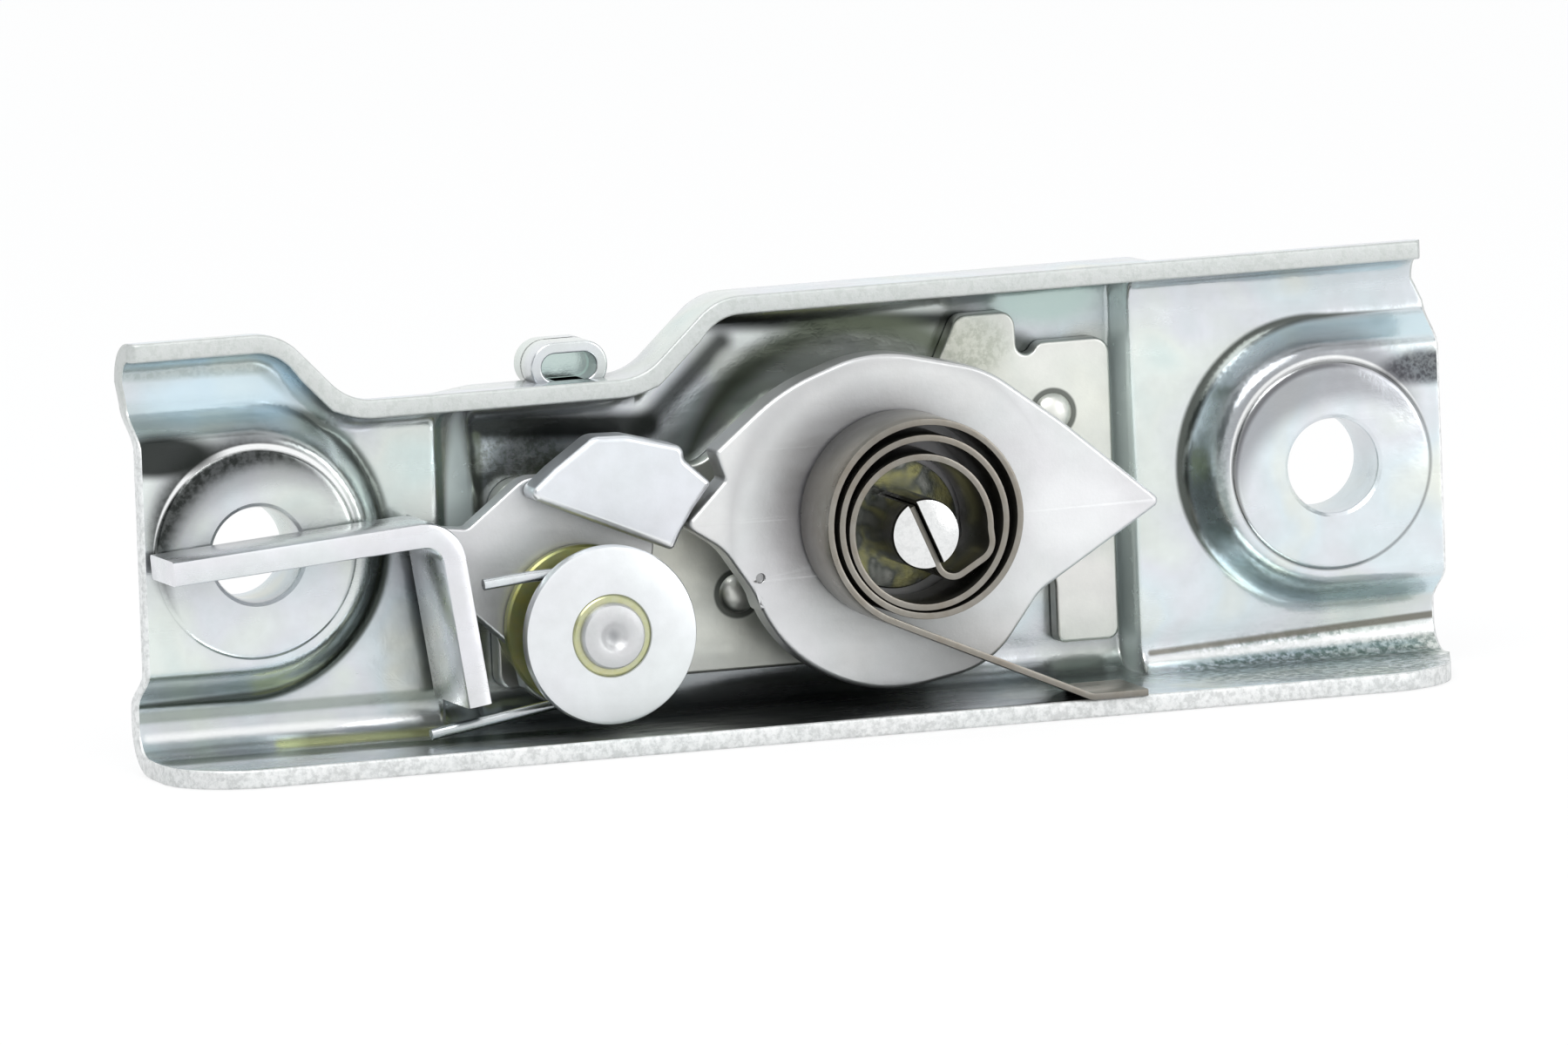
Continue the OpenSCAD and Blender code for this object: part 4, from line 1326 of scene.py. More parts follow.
    def side(self, x: np.ndarray, inner: bool) -> np.ndarray:
        """Grid of one side of the sheet, from the lip's edge to the flange's edge.

        Args:
            x: stations along the case.
            inner: True for the side that faces the viewer.

        Returns:
            Array of rows, stations and coordinates.
        """
        s, t = self.sizes, self.sizes.sheet
        wall = self.along(self.plan if inner else self.back_plan(), self.plan_r, x)
        top = self.along(self.top, [self.top_r] * len(self.top), x)
        lean = 1 / np.cos(np.arctan(np.gradient(top, x)))
        drop = t if inner else 0.0
        r_top, r_low = s.lip_bend + t - drop, s.flange_bend + t - drop
        lip_edge = self.cornered(s.lip_depth, self.lip_corner, np.minimum(x, s.length - x))
        rows: list[tuple[np.ndarray, np.ndarray, float]] = []
        bend_y = wall - r_top
        for k in np.linspace(0, 1, self.lip_rows):
            rows.append((lip_edge + (bend_y - lip_edge) * k, top - drop * lean, 1.0))
        quarter = np.linspace(0, math.pi / 2, self.bend_rows)[1:]
        for a in quarter:
            z = top - (drop + r_top * (1 - math.cos(a))) * lean
            lift = self.seat_at(x, z) * (1 - math.cos(a))
            rows.append((bend_y + r_top * math.sin(a) - lift, z, 1.0))
        z_top = top - (drop + r_top) * lean
        z_low = np.full_like(x, t + s.flange_bend)
        for k in np.linspace(0, 1, self.wall_rows)[1:]:
            z = z_top + (z_low - z_top) * k
            rows.append((wall - self.seat_at(x, z), z, max(0.0, 1 - k * self.over_fade)))
        for a in quarter:
            rows.append((wall - r_low * (1 - math.cos(a)), z_low - r_low * math.sin(a), 0.0))
        edge = self.flange_front(x)
        for k in np.linspace(0, 1, self.flange_rows)[1:]:
            rows.append((wall - r_low + (edge - wall + r_low) * k, z_low - r_low, 0.0))
        grid = np.zeros((len(rows), len(x), 3))
        for i, (y, z, share) in enumerate(rows):
            left = s.lip_over * share * np.clip(1 - x / self.over_run, 0, 1)
            right = s.lip_short * share * np.clip(1 - (s.length - x) / self.over_run, 0, 1)
            grid[i] = np.stack([x - left - right, y, z], 1)
        return grid

    def sheet(self) -> Thing:
        """Makes the bent sheet with eased edges and openings at the seats.

        Returns:
            The sheet, with one material for its front, back and edges each.
        """
        x = self.columns()
        front, back = self.side(x, True), self.side(x, False)
        rows, cols = front.shape[:2]
        size = rows * cols
        pts = np.concatenate([front.reshape(-1, 3), back.reshape(-1, 3)])
        inside: Faces = []
        for i, j in ((i, j) for i in range(rows - 1) for j in range(cols - 1)):
            mid = (front[i, j] + front[i + 1, j + 1]) / 2
            if all(math.hypot(mid[0] - cx, mid[2] - cz) >= self.opening_r for cx, cz in (LEFT, RIGHT)):
                a = i * cols + j
                inside.append((a, a + 1, a + cols + 1, a + cols))
        faces = inside + [(a + size, d + size, c + size, b + size) for a, b, c, d in inside]
        groups = (len(inside), len(faces))
        rim = [(0, j) for j in range(cols)] + [(i, cols - 1) for i in range(1, rows)]
        rim += [(rows - 1, j) for j in range(cols - 2, -1, -1)] + [(i, 0) for i in range(rows - 2, 0, -1)]
        index = np.array([i * cols + j for i, j in rim])
        inner = np.array([min(max(i, 1), rows - 2) * cols + min(max(j, 1), cols - 2) for i, j in rim])
        a, b = pts[index], pts[index + size]
        out = (a - pts[inner]) + (b - pts[inner + size])
        through = (b - a) / np.linalg.norm(b - a, axis=1)[:, None]
        out -= through * (out * through).sum(1)[:, None]
        out /= np.linalg.norm(out, axis=1)[:, None]
        e = self.rim
        pts[index] = a - out * e
        pts[index + size] = b - out * e
        eased = [(e * (1 - math.sin(t)), e * (1 - math.cos(t))) for t in np.linspace(0, math.pi / 2, 5)[1:]]
        strips = [a - out * u + through * v for u, v in eased]
        strips += [b - out * u - through * v for u, v in reversed(eased)]
        n = len(rim)
        rings = [index] + [len(pts) + k * n + np.arange(n) for k in range(len(strips))] + [index + size]
        for one, two in zip(rings, rings[1:]):
            faces += [(one[k], two[k], two[(k + 1) % n], one[(k + 1) % n]) for k in range(n)]
        obj = Forge.mesh("case_sheet", np.concatenate([pts] + strips), faces, 60.0, groups)
        for finish in (Finishes.ZINC, Finishes.BACK, Finishes.EDGE):
            obj.data.materials.append(Finishes.build(finish))
        return obj

    def seat_disc(self, name: str, cx: float) -> Thing:
        """Raised face round a bolt hole, with its collar.

        Args:
            name: name of the piece.
            cx: X of the hole.

        Returns:
            The new object.
        """
        s, f, r = self.sizes, self.seat_front, self.sizes.bolt_r
        profile = [
            (r, 2.4), (r, f + 0.5), (r + 0.12, f + 0.2), (r + 0.45, f), (6.0, f + 0.02),
            (7.2, f + 0.07), (8.4, f + 0.15), (9.4, f + 0.25), (9.75, f + 0.31), (9.95, f + 0.42),
            (10.08, f + 0.6), (10.5, f + 0.72), (10.5, -1.9), (7.2, -1.9), (6.6, -1.6), (6.3, -1.0),
            (6.3, 2.1), (6.0, 2.4),
        ]
        return Forge.lathe(name, profile, cx, s.seat_z)

    def eye_outline(self, d: float) -> list[Point]:
        """Outline of the eye.

        Args:
            d: distance by which it lies further in.

        Returns:
            The points of the outline.
        """
        r = (self.eye_height + self.eye_wall) / 2
        left, right = self.eye_left + d, self.eye_left + self.eye_width - d
        foot = self.top[2][1] - self.eye_wall
        low, high, k = foot + d, foot + 2 * r - d, r - d - 0.01
        return rounded([(left, low, k), (right, low, k), (right, high, k), (left, high, k)])

    def eye(self) -> tuple[Thing, Thing]:
        """Curled cable eye above the dip, and the web that closes it at the back.

        Returns:
            Both objects.
        """
        outer, inner = self.eye_outline(0.0), self.eye_outline(self.eye_wall)
        curl = Forge.plate("case_eye", [outer, inner], *self.eye_ys, 0.22)
        return curl, Forge.plate("case_eye_web", [outer], *self.web_ys, 0.2)

    def build(self) -> None:
        """Builds and dresses the case."""
        sheet = self.sheet()
        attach(sheet, Body.CASE.value)
        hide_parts("case")
        for name, (x, _) in (("case_seat_left", LEFT), ("case_seat_right", RIGHT)):
            settle(self.seat_disc(name, x), Finishes.ZINC, Body.CASE)
        for piece in self.eye():
            settle(piece, Finishes.ZINC, Body.CASE)


@dataclass
class BearingPlate:
    """Cream plate in the recess with its two rivets."""

    front: float = 2.0
    back: float = 4.0
    hub_r: float = 6.7
    right: float = 99.7
    foot: float = 93.4
    rear: float = 5.8

    def outline(self) -> list[Point]:
        """Outline of the plate.

        Returns:
            Its points.
        """
        right, foot = self.right, self.foot
        return rounded([
            (37, 4.9, 1.5), (82, 4.9, 2), (87.5, 12, 2), (foot, 12, 1.5), (foot, 4.9, 0.8),
            (right, 4.9, 1.2), (right, 34, 1.6), (92.6, 34, 1.2), (90.4, 31, 1), (90.2, 37.2, 1.5),
            (84.4, 37.2, 1.5), (81.4, 31, 2), (66, 31, 3), (58, 25, 3), (37, 25, 3),
        ])

    def rivet(self, name: str, place: Point) -> Thing:
        """Domed rivet head with a ring round it.

        Args:
            name: name of the piece.
            place: X and Z of its axis.

        Returns:
            The new object.
        """
        f, b = self.front, self.rear
        profile = [
            (0.0, f - 0.9), (0.7, f - 0.84), (1.3, f - 0.6), (1.72, f - 0.28), (1.9, f), (1.3, f + 0.02),
            (1.3, b), (1.9, b + 0.02), (1.5, b + 0.55), (0.8, b + 0.86), (0.0, b + 0.9),
        ]
        return Forge.lathe(name, profile, *place, segments=48)

    def build(self) -> None:
        """Builds and dresses the plate and its rivets."""
        outlines = [self.outline(), circle(*AXLE, self.hub_r)]
        plate = Forge.plate("bearing_plate_face", outlines, self.front, self.back, 0.3)
        settle(plate, Finishes.CREAM, Body.CASE, "bearing_plate")
        for name, place in zip(("plate_rivet_left", "plate_rivet_right"), RIVETS):
            settle(self.rivet(name + "_head", place), Finishes.RIVET, Body.CASE, name)


@dataclass
class Rotor:
    """Rotor plate with its shaft, collar and rear washer."""

    sizes: Sizes = SIZES
    radius: float = 15.8
    beak: float = 27.2
    claw: float = 18.9
    lobe: float = 21.0
    bore: float = 4.0
    shaft_r: float = 3.4
    shaft_front: float = -16.8
    shaft_back: float = 8.0
    slot_w: float = 0.9
    slot_depth: float = 8.9
    dimple: Point = (-13.6, -4.2)
    dimple_r: float = 0.5
    dimple_depth: float = 0.6
    collar_r: float = 6.2
    collar_t: float = 0.4
    washer_r: float = 8.0
    washer_ys: Point = (6.0, 7.2)

    def outline(self) -> list[Point]:
        """Outline of the rotor.

        Returns:
            Its points.
        """
        r, claw, lobe = self.radius, self.claw, self.lobe
        spec = [
            (self.beak, 0, 0.7), (19.3, 26, 14), (r * 1.09, 55, 12), (r * 1.07, 95, 14),
            (r * 1.1, 128, 20), (claw + 0.5, 155, 0.5), (claw, 156.8, 0.5), (17.6, 161.8, 0.5),
            (lobe, 176.5, 0.8), (17.2, 184, 6), (15.2, 203, 10), (r * 1.06, 222, 14),
            (r * 1.06, 262, 15), (r * 1.09, 303, 9), (16.4, 332, 5),
        ]
        return rounded([(*polar(*AXLE, d, a), e) for d, a, e in spec], 12)

    def shaft(self) -> Thing:
        """Shaft with its slotted end, journal and rear end.

        Returns:
            The new object.
        """
        f, b, r, bore = self.shaft_front, self.shaft_back, self.shaft_r, self.bore
        front, back = self.sizes.rotor_front, self.sizes.rotor_back
        y0, y1 = self.washer_ys
        profile = [
            (0.0, f), (r - 0.45, f), (r - 0.13, f + 0.13), (r, f + 0.45), (r, front - 0.02),
            (bore, front), (bore, back), (4.4, back), (4.4, y0), (r, y0), (r, y1), (4.6, y1),
            (4.6, b - 0.3), (4.3, b), (0.0, b),
        ]
        obj = Forge.lathe("rotor_shaft_turned", profile, *AXLE)
        return Forge.cut(obj, Forge.mesh("slot_cutter", *self.slot_box()))

    def slot_box(self) -> tuple[np.ndarray, Faces]:
        """Shape of the slot cutter.

        Returns:
            Its corners and faces.
        """
        a = math.radians(self.sizes.slot_angle)
        along = np.array([-math.sin(a), math.cos(a)]) * self.washer_r
        across = np.array([math.cos(a), math.sin(a)]) * self.slot_w / 2
        pts = []
        for y in (self.shaft_front - 1, self.shaft_front + self.slot_depth):
            for u, v in ((-1, -1), (1, -1), (1, 1), (-1, 1)):
                x, z = np.array(AXLE) + u * across + v * along
                pts.append((x, y, z))
        faces = [(0, 1, 2, 3), (7, 6, 5, 4), (0, 4, 5, 1), (1, 5, 6, 2), (2, 6, 7, 3), (3, 7, 4, 0)]
        return np.array(pts), faces

    def ring(self, name: str, outer: float, y0: float, y1: float) -> Thing:
        """Flat ring on the shaft, with eased edges.

        Args:
            name: name of the piece.
            outer: its radius.
            y0: its front.
            y1: its back.

        Returns:
            The new object.
        """
        e, r = min(0.15, (y1 - y0) / 3), self.shaft_r
        profile = [(r, y0), (outer - e, y0), (outer, y0 + e), (outer, y1 - e), (outer - e, y1), (r, y1)]
        return Forge.lathe(name, profile, *AXLE)

    def build(self) -> None:
        """Builds and dresses the rotor's pieces."""
        front, back = self.sizes.rotor_front, self.sizes.rotor_back
        plate = Forge.plate("rotor_plate", [self.outline(), circle(*AXLE, self.bore)], front, back, 0.45)
        dent = circle(AXLE[0] + self.dimple[0], AXLE[1] + self.dimple[1], self.dimple_r, 20)
        cutter = Forge.plate("dimple_cutter", [dent], front - 1, front + self.dimple_depth, 0.1)
        plate = Forge.cut(plate, cutter)
        settle(plate, Finishes.PALE, Body.ROTOR, "rotor")
        settle(self.shaft(), Finishes.SHAFT, Body.ROTOR, "rotor_shaft")
        collar = self.ring("hub_collar_ring", self.collar_r, front - self.collar_t, front)
        settle(collar, Finishes.HUB, Body.ROTOR, "hub_collar")
        washer = self.ring("shaft_washer_ring", self.washer_r, *self.washer_ys)
        settle(washer, Finishes.WASHER, Body.ROTOR, "shaft_washer")


@dataclass
class SpiralSpring:
    """Flat spiral spring between the shaft's slot and the flange's edge."""

    thick: float = 0.65
    front: float = -16.0
    back: float = -8.0
    edge: float = 0.12
    outer: float = 10.1
    pitch: float = 1.25
    aside: Point = (0.6, 1.1)
    tail_sweep: float = 24.0
    whole: int = 3
    leg_start: float = -112.4
    tail: float = -25.0
    foot: Point = (90.4, 2.1)
    foot_len: float = 5.6
    foot_r: float = 2.0
    slot_ends: Point = (2.8, 5.5)
    slot_bends: Point = (1.6, 2.0)
    join: float = 1.25
    coil_steps: int = 220
    leg_steps: int = 9

    def path(self) -> tuple[list[Point], list[float]]:
        """Middle line of the strip.

        Returns:
            Its points, and the share by which each of them turns with the shaft.
        """
        turns = self.whole - (self.tail - self.leg_start) / 360
        inner = self.leg_start - 360 * turns
        a = math.radians(SIZES.slot_angle)
        d, c = np.array([-math.sin(a), math.cos(a)]), np.array(AXLE)

        def coil(angle: float) -> Point:
            """Finds a point of the coil.

            Args:
                angle: its angle in degrees.

            Returns:
                X and Z of the point.
            """
            share = (self.leg_start - angle) / (360 * turns)
            middle = c + np.array(self.aside) * (1 - share**2)
            return polar(*middle, self.outer - self.pitch * (self.leg_start - angle) / 360, angle)

        tip, corner = tuple(c + d * self.slot_ends[0]), tuple(c - d * self.slot_ends[1])
        join = tuple(np.array(coil(inner)) * self.join + np.array(corner) * (1 - self.join))
        first = inner + self.tail_sweep
        r0, r1 = self.slot_bends
        pts: list[Point] = [tip, *arc_at(tip, corner, join, r0, 8)]
        pts += arc_at(corner, join, coil(first), r1, 8)
        share = [1.0] * len(pts)
        for k in range(self.coil_steps + 1):
            pts.append(coil(first + (self.leg_start - first) * k / self.coil_steps))
            share.append(1 - k / self.coil_steps)
        start, flat = coil(self.leg_start), (self.foot[0] + self.foot_len, self.foot[1])
        bend = arc_at(start, self.foot, flat, self.foot_r, 8)
        run = np.linspace(start, bend[0], self.leg_steps + 1)[1:-1]
        pts += [tuple(p) for p in run] + bend + [flat]
        return pts, share + [0.0] * (len(pts) - len(share))

    def build(self) -> None:
        """Builds and dresses the spring."""
        pts, share = self.path()
        obj = Forge.strip("spiral_spring_strip", pts, self.thick, self.front, self.back, self.edge)
        wind(obj, Finishes.SPRING, [(x, 0.0, z) for x, z in pts], share, Body.ROTOR, AXLE, "spiral_spring")


@dataclass
class Pawl:
    """Lever with its bent strip and the tooth; the tooth's rivets are hidden."""

    sizes: Sizes = SIZES
    thick: float = 2.4
    front: float = -3.9
    back: float = -1.5
    strip_out: float = 8.2
    arm_back: float = -5.0
    arm_end: float = 26.6
    arm_low: float = 18.0
    tip: Point = (0.4, 20.5)
    knee: Point = (28.0, 22.4)
    knee_r: float = 3.0
    foot: Point = (30.4, 5.6)
    arm_steps: int = 30

    def lever(self) -> Thing:
        """Flat plate round the pivot.

        Returns:
            The new object.
        """
        x, z = PIVOT
        outline = rounded([
            (x + 6.4, z - 2, 0), (x + 8.6, z + 14, 2), (x - 5, z + 14.5, 3), (32.5, 21.4, 1),
            (28.4, 21.9, 0.5), (28.6, 17, 1), (x - 6.4, z - 2, 0),
            *[(*polar(x, z, 8.0, a), 0) for a in range(225, 320, 5)],
        ])
        return Forge.plate("pawl_lever_plate", [outline], self.front, self.back, 0.25)

    def strap(self) -> Thing:
        """The release arm and the leg, one bent strip with a wider leg.

        Returns:
            The new object.
        """
        (x0, z0), (fx, fz) = self.tip, self.foot
        bend = arc_at(self.tip, self.knee, self.foot, self.knee_r, 12)
        (x1, z1), (x2, z2) = bend[0], bend[-1]
        slope = (z1 - z0) / (x1 - x0)
        path = [(x, z0 + slope * (x - x0)) for x in np.linspace(x0, x1, self.arm_steps)[:-1]] + bend
        path += [(x2 + (fx - x2) * k, z2 + (fz - z2) * k) for k in (0.3, 0.6, 0.97, 1.0)]
        backs = [self.arm_back if x < self.arm_end and z > self.arm_low else self.back for x, z in path]
        return Forge.strip("pawl_strap", path, self.thick, self.front - self.strip_out, backs, 0.4)

    def tooth(self) -> Thing:
        """Thicker tooth plate.

        Returns:
            The new object.
        """
        outline = rounded([
            (37.3, 24.5, 0.8), (40.2, 26.9, 2), (44.3, 29.7, 2), (47.6, 29.6, 3), (53.2, 28.1, 1),
            (53.3, 26.8, 0.8), (56.0, 24.4, 0.5), (54, 22, 3), (52.6, 19.8, 2), (51.8, 18.2, 0.5),
        ])
        return Forge.plate("pawl_tooth_plate", [outline], self.sizes.rotor_front, self.front, 0.55)

    def build(self) -> None:
        """Builds and dresses the pawl."""
        settle(self.lever(), Finishes.PALE, Body.PAWL, "pawl_lever")
        settle(self.strap(), Finishes.STRAP, Body.PAWL)
        tooth = settle(self.tooth(), Finishes.TOOTH, Body.PAWL, "pawl_tooth")
        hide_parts("tooth_rivets")


@dataclass
class PawlPivot:
    """Bush, spacer, washers and rivet of the pawl's pivot, and the spring round it."""

    front: float = -13.1
    washer_back: float = -11.8
    washer_r: float = 8.6
    bush_r: float = 3.9
    pin_r: float = 2.6
    wall: float = 2.0
    rear: float = 6.8
    wire_r: float = 0.55
    coil_r: float = 6.2
    coil_y: float = -8.45
    coil_start: float = 93.0
    coil_sweep: float = 910.0
    coil_steps: int = 120
    leg_steps: int = 8
    arm: tuple[Point, Point] = ((31.4, 17.0), (36.0, 17.4))
    arm_steps: int = 6
    foot: Point = (26.5, 2.75)
    shares: Point = (0.4, 0.1)

    def washer(self) -> list[Point]:
        """Profile of the front washer with its rolled edge.

        Returns:
            Radius and Y of its points.
        """
        f, b, r, i = self.front, self.washer_back, self.washer_r, self.bush_r
        edge = [(r - 0.5, f), (r - 0.15, f + 0.12), (r, f + 0.45), (r, b - 0.2), (r - 0.2, b)]
        return [(i, f + 0.1), (i + 0.1, f), *edge, (i, b)]

    def rivet(self) -> list[Point]:
        """Profile of the pivot rivet with a dimple in its head.

        Returns:
            Radius and Y of its points.
        """
        f, b, r = self.front, self.rear, self.pin_r
        dome = [
            (0.0, -0.3), (0.5, -0.34), (1.0, -0.55), (1.3, -0.8), (1.6, -0.9), (2.5, -0.88), (2.95, -0.72),
            (3.15, -0.4), (3.2, 0.0), (r, 0.01),
        ]
        head = [(x, f + y) for x, y in dome]
        return head + [(r, b), (3.2, b), (3.2, b + 0.4), (0.0, b + 0.4)]

    def bush(self) -> list[Point]:
        """Profile of the yellow bush with its flange.

        Returns:
            Radius and Y of its points.
        """
        f, b, r, i = self.front, self.wall, self.bush_r, self.pin_r
        flange = [(r, -5.2), (7.6, -5.2), (7.8, -5.0), (7.8, -4.2), (7.6, -4.0), (r, -4.0)]
        return [(i, f), (r - 0.2, f), (r, f + 0.15), *flange, (r, b), (i, b)]

    def spring(self) -> None:
        """Wire spring: its upper leg lies by the lever, its lower leg stays near the flange."""
        y0, y1 = self.washer_back + 0.75, self.coil_y
        (x0, z0), (x1, z1) = self.arm
        n = self.arm_steps
        pts = [(x0 + (x1 - x0) * k / n, y0, z0 + (z1 - z0) * k / n) for k in range(n + 1)]
        share = [1.0] * len(pts)
        near, far = self.shares
        for k in range(self.coil_steps + 1):
            t = k / self.coil_steps
            x, z = polar(*PIVOT, self.coil_r, self.coil_start - self.coil_sweep * t)
            pts.append((x, y0 + (y1 - y0) * t, z))
            share.append(1 - (1 - near) * t)
        last, tip = np.array(pts[-1]), np.array((self.foot[0], y1, self.foot[1]))
        for k in range(1, self.leg_steps + 1):
            pts.append(tuple(last + (tip - last) * k / self.leg_steps))
            share.append(near - (near - far) * k / self.leg_steps)
        obj = Forge.wire("pawl_spring_wire", np.array(pts), self.wire_r)
        wind(obj, Finishes.WIRE, pts, share, Body.PAWL, PIVOT, "pawl_spring")

    def build(self) -> None:
        """Builds and dresses the pivot's pieces."""
        o, i, w, b = self.bush_r, self.pin_r, self.wall, self.rear
        spacer = [(o, -1.4), (6.4, -1.4), (6.5, -1.3), (6.5, w), (o, w)]
        ring = [(i, b - 1), (6.0, b - 1), (6.0, b - 0.2), (5.8, b), (i, b)]
        for name, profile, finish, node in (
            ("pawl_washer_disc", self.washer(), Finishes.WASHER, "pawl_washer"),
            ("pawl_rivet_head", self.rivet(), Finishes.HEAD, "pawl_rivet"),
            ("pawl_bush_turned", self.bush(), Finishes.YELLOW, "pawl_bush"),
            ("pawl_spacer_ring", spacer, Finishes.YELLOW, "pawl_spacer"),
            ("pawl_rear_ring", ring, Finishes.WASHER, "pawl_rear_washer"),
        ):
            settle(Forge.lathe(name, profile, *PIVOT), finish, Body.CASE, node)
        self.spring()
        bush = Finishes.dress(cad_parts["rotor_bush"], Finishes.YELLOW)
        log.info("CAD node %s dressed", bush.name)


@dataclass
class Studio:
    """Camera, floor, world, cards and lamps.

    Args:
        azimuth: degrees from the front, negative towards the left.
        elevation: degrees above the horizon.
        roll: degrees by which the picture turns counter-clockwise.
        span: width of the picture in millimetres at the object.
        aim: point at the middle of the picture, in the case's frame.
        distance: distance of the camera in metres.
        clip: nearest and farthest distance that the camera sees, in metres.
        floor_white: share of plain white in the floor that the camera sees.
        floor_half: half the width of the floor in metres.
        floor_gap: gap between floor and lock in metres.
        room: strength of the room's light.
        flags: middle, lower and upper edge and half width of each dark card, in degrees.
        flag_distance: distance of the cards in metres.
        key: place, width and height in metres, and power in watts of the main lamp.
        fill: the same of the second lamp.
    """

    azimuth: float = -19.0
    elevation: float = 7.6
    roll: float = 2.15
    span: float = 149.0
    aim: Triple = (63.8, -5.0, 19.7)
    distance: float = 4.0
    clip: Point = (0.05, 20.0)
    floor_white: float = 0.88
    floor_half: float = 3.0
    floor_gap: float = 0.0001
    room: float = 1.0
    flags: tuple[tuple[float, float, float, float], ...] = (
        (-62, 2, 50, 16), (58, 2, 50, 11), (10, 60, 72, 50), (128, 4, 40, 10), (-122, 4, 40, 10),
    )
    flag_distance: float = 1.1
    key: tuple[Triple, Point, float] = ((-0.25, -0.45, 0.65), (0.5, 0.4), 3.4)
    fill: tuple[Triple, Point, float] = ((0.6, -0.6, 0.25), (0.4, 0.6), 1.6)

    def camera(self) -> None:
        """Makes the scene's camera."""
        data = bpy.data.cameras.new("camera")
        data.lens = data.sensor_width * self.distance / (self.span * MM)
        data.clip_start, data.clip_end = self.clip
        obj = linked("camera", data)
        back = heading(self.azimuth, self.elevation)
        obj.location = DATUM.row(*self.aim) + back * self.distance
        look = (-back).to_track_quat("-Z", "Y")
        obj.rotation_mode = "QUATERNION"
        obj.rotation_quaternion = look @ Quaternion((0, 0, 1), -math.radians(self.roll))
        bpy.context.scene.camera = obj

    @staticmethod
    def matt(g: Graph, scale: float, stops: Stops) -> Socket:
        """Matt shader with soft clouds."""
        tone = g.ramp(g.noise(g.mapped((scale,) * 3), 1.0, 2.0), stops)
        return g.fed("ShaderNodeBsdfDiffuse", {"Color": tone}).outputs["BSDF"]

    @staticmethod
    def seen(g: Graph) -> Socket:
        """Tells the rays that show the background: to the camera, in a mirror or through glass.

        Args:
            g: the graph.

        Returns:
            1 for those rays and 0 for the others.
        """
        path = g.add("ShaderNodeLightPath").outputs
        mirror = g.maths("MAXIMUM", path["Is Glossy Ray"], path["Is Transmission Ray"])
        return g.maths("MAXIMUM", path["Is Camera Ray"], mirror)

    @staticmethod
    def whiten(g: Graph, share: Socket, shader: Socket, white: str) -> None:
        """Ends a graph with a shader and white.

        Args:
            g: the graph.
            share: share of the white.
            shader: the shader.
            white: type of the white shader.
        """
        plain = g.fed(white, {"Color": (1, 1, 1, 1)}).outputs[0]
        mixed = g.fed("ShaderNodeMixShader", {0: share, 1: shader, 2: plain}).outputs[0]
        g.link(mixed, g.out.inputs["Surface"])

    @staticmethod
    def screen(name: str, points: Sequence[Sequence[float]], g: Graph) -> Thing:
        """Makes flat squares that belong to the set.

        Args:
            name: name of the object.
            points: four corners of each square.
            g: graph of their material.

        Returns:
            The object.
        """
        data = bpy.data.meshes.new(name)
        data.from_pydata(points, [], [tuple(range(k, k + 4)) for k in range(0, len(points), 4)])
        data.materials.append(g.owner)
        obj = linked(name, data)
        return obj

    def floor(self) -> None:
        """Pale floor under the lock."""
        g = Graph.material("floor_white")
        shader = self.matt(g, 0.01, [(0.3, (0.92, 0.925, 0.93)), (0.7, (0.94, 0.94, 0.94))])
        share = g.maths("MULTIPLY", self.seen(g), self.floor_white)
        self.whiten(g, share, shader, "ShaderNodeEmission")
        r = self.floor_half
        obj = self.screen("floor", [(-r, -r, 0), (r, -r, 0), (r, r, 0), (-r, r, 0)], g)
        obj.location = (0, 0, DATUM.origin.z - self.floor_gap)

    def world(self) -> None:
        """White background, and an even pale room that lights the lock."""
        world = bpy.data.worlds.new("room")
        bpy.context.scene.world = world
        g = Graph(world)
        split = g.fed("ShaderNodeSeparateXYZ", {0: g.coord}).outputs
        high = g.levels(split["Z"], -1.0, 1.0, 0.0, 1.0)
        sky = g.ramp(high, [(0.0, (0.6, 0.61, 0.62)), (0.5, (0.85, 0.87, 0.88)), (1.0, (0.95, 0.98, 1.0))])
        room = g.fed("ShaderNodeBackground", {"Color": sky, "Strength": self.room}).outputs[0]
        self.whiten(g, self.seen(g), room, "ShaderNodeBackground")

    def lamp(self, name: str, place: Triple, size: Point, power: float) -> None:
        """Adds an area lamp that faces the lock.

        Args:
            name: name of the lamp.
            place: its place in metres.
            size: its width and height in metres.
            power: its power in watts.
        """
        data = bpy.data.lights.new(name, "AREA")
        data.shape = "RECTANGLE"
        data.size, data.size_y = size
        data.energy = power
        obj = linked(name, data)
        obj.location = place
        obj.rotation_mode = "QUATERNION"
        obj.rotation_quaternion = (DATUM.row(*self.aim) - Vector(place)).to_track_quat("-Z", "Y")

    def cards(self) -> None:
        """Dark cards round the lock, out of the camera's sight; the bent sheet mirrors them."""
        g = Graph.material("card_dark")
        shader = self.matt(g, 0.02, [(0.3, (0.10, 0.11, 0.11)), (0.7, (0.16, 0.17, 0.17))])
        g.link(shader, g.out.inputs["Surface"])
        points: list[Vector] = []
        middle = DATUM.row(*self.aim)
        for azimuth, low, high, half in self.flags:
            for side, elevation in ((-half, low), (half, low), (half, high), (-half, high)):
                points.append(middle + heading(azimuth + side, elevation) * self.flag_distance)
        self.screen("dark_cards", points, g).visible_camera = False

    def build(self) -> None:
        """Builds the set."""
        self.camera()
        self.floor()
        self.cards()
        self.world()
        self.lamp("key", *self.key)
        self.lamp("fill", *self.fill)
        bpy.context.scene.view_settings.view_transform = "Standard"


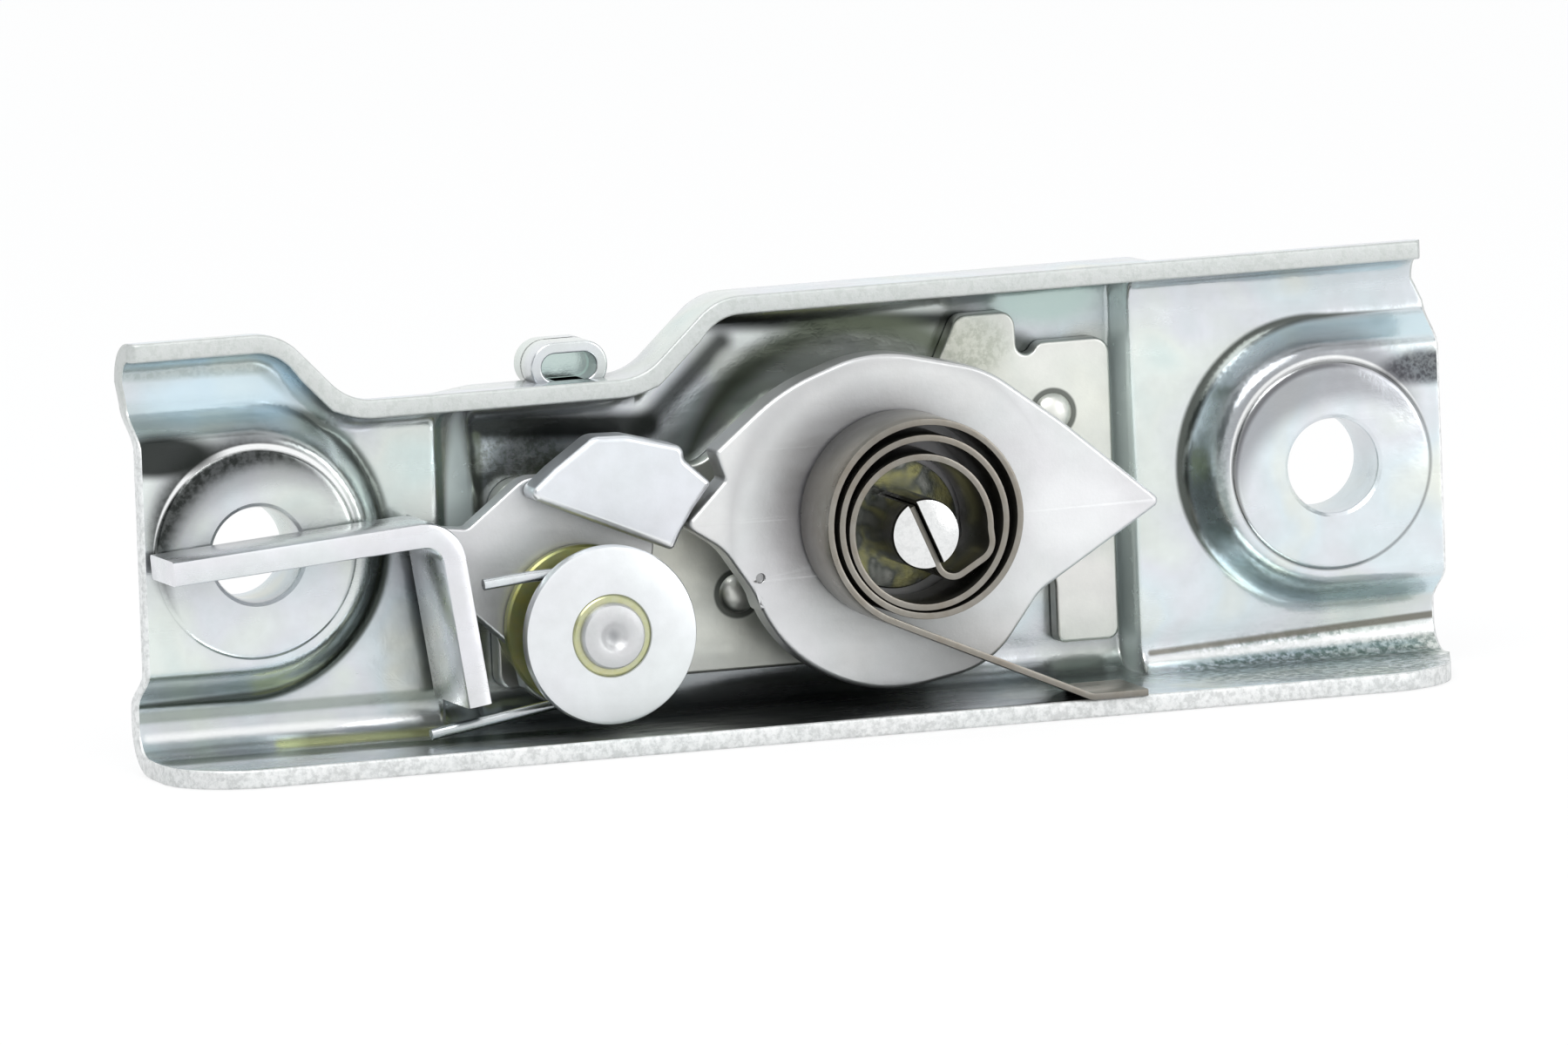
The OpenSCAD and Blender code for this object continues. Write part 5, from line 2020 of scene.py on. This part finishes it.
def main() -> None:
    """Builds the lock and its set."""
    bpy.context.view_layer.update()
    for part in (Case(), BearingPlate(), Rotor(), SpiralSpring(), Pawl(), PawlPivot()):
        log.info("sub-assembly %s", type(part).__name__)
        part.build()
    Studio().build()
    bpy.context.view_layer.update()


if __name__ == "__main__":
    main()
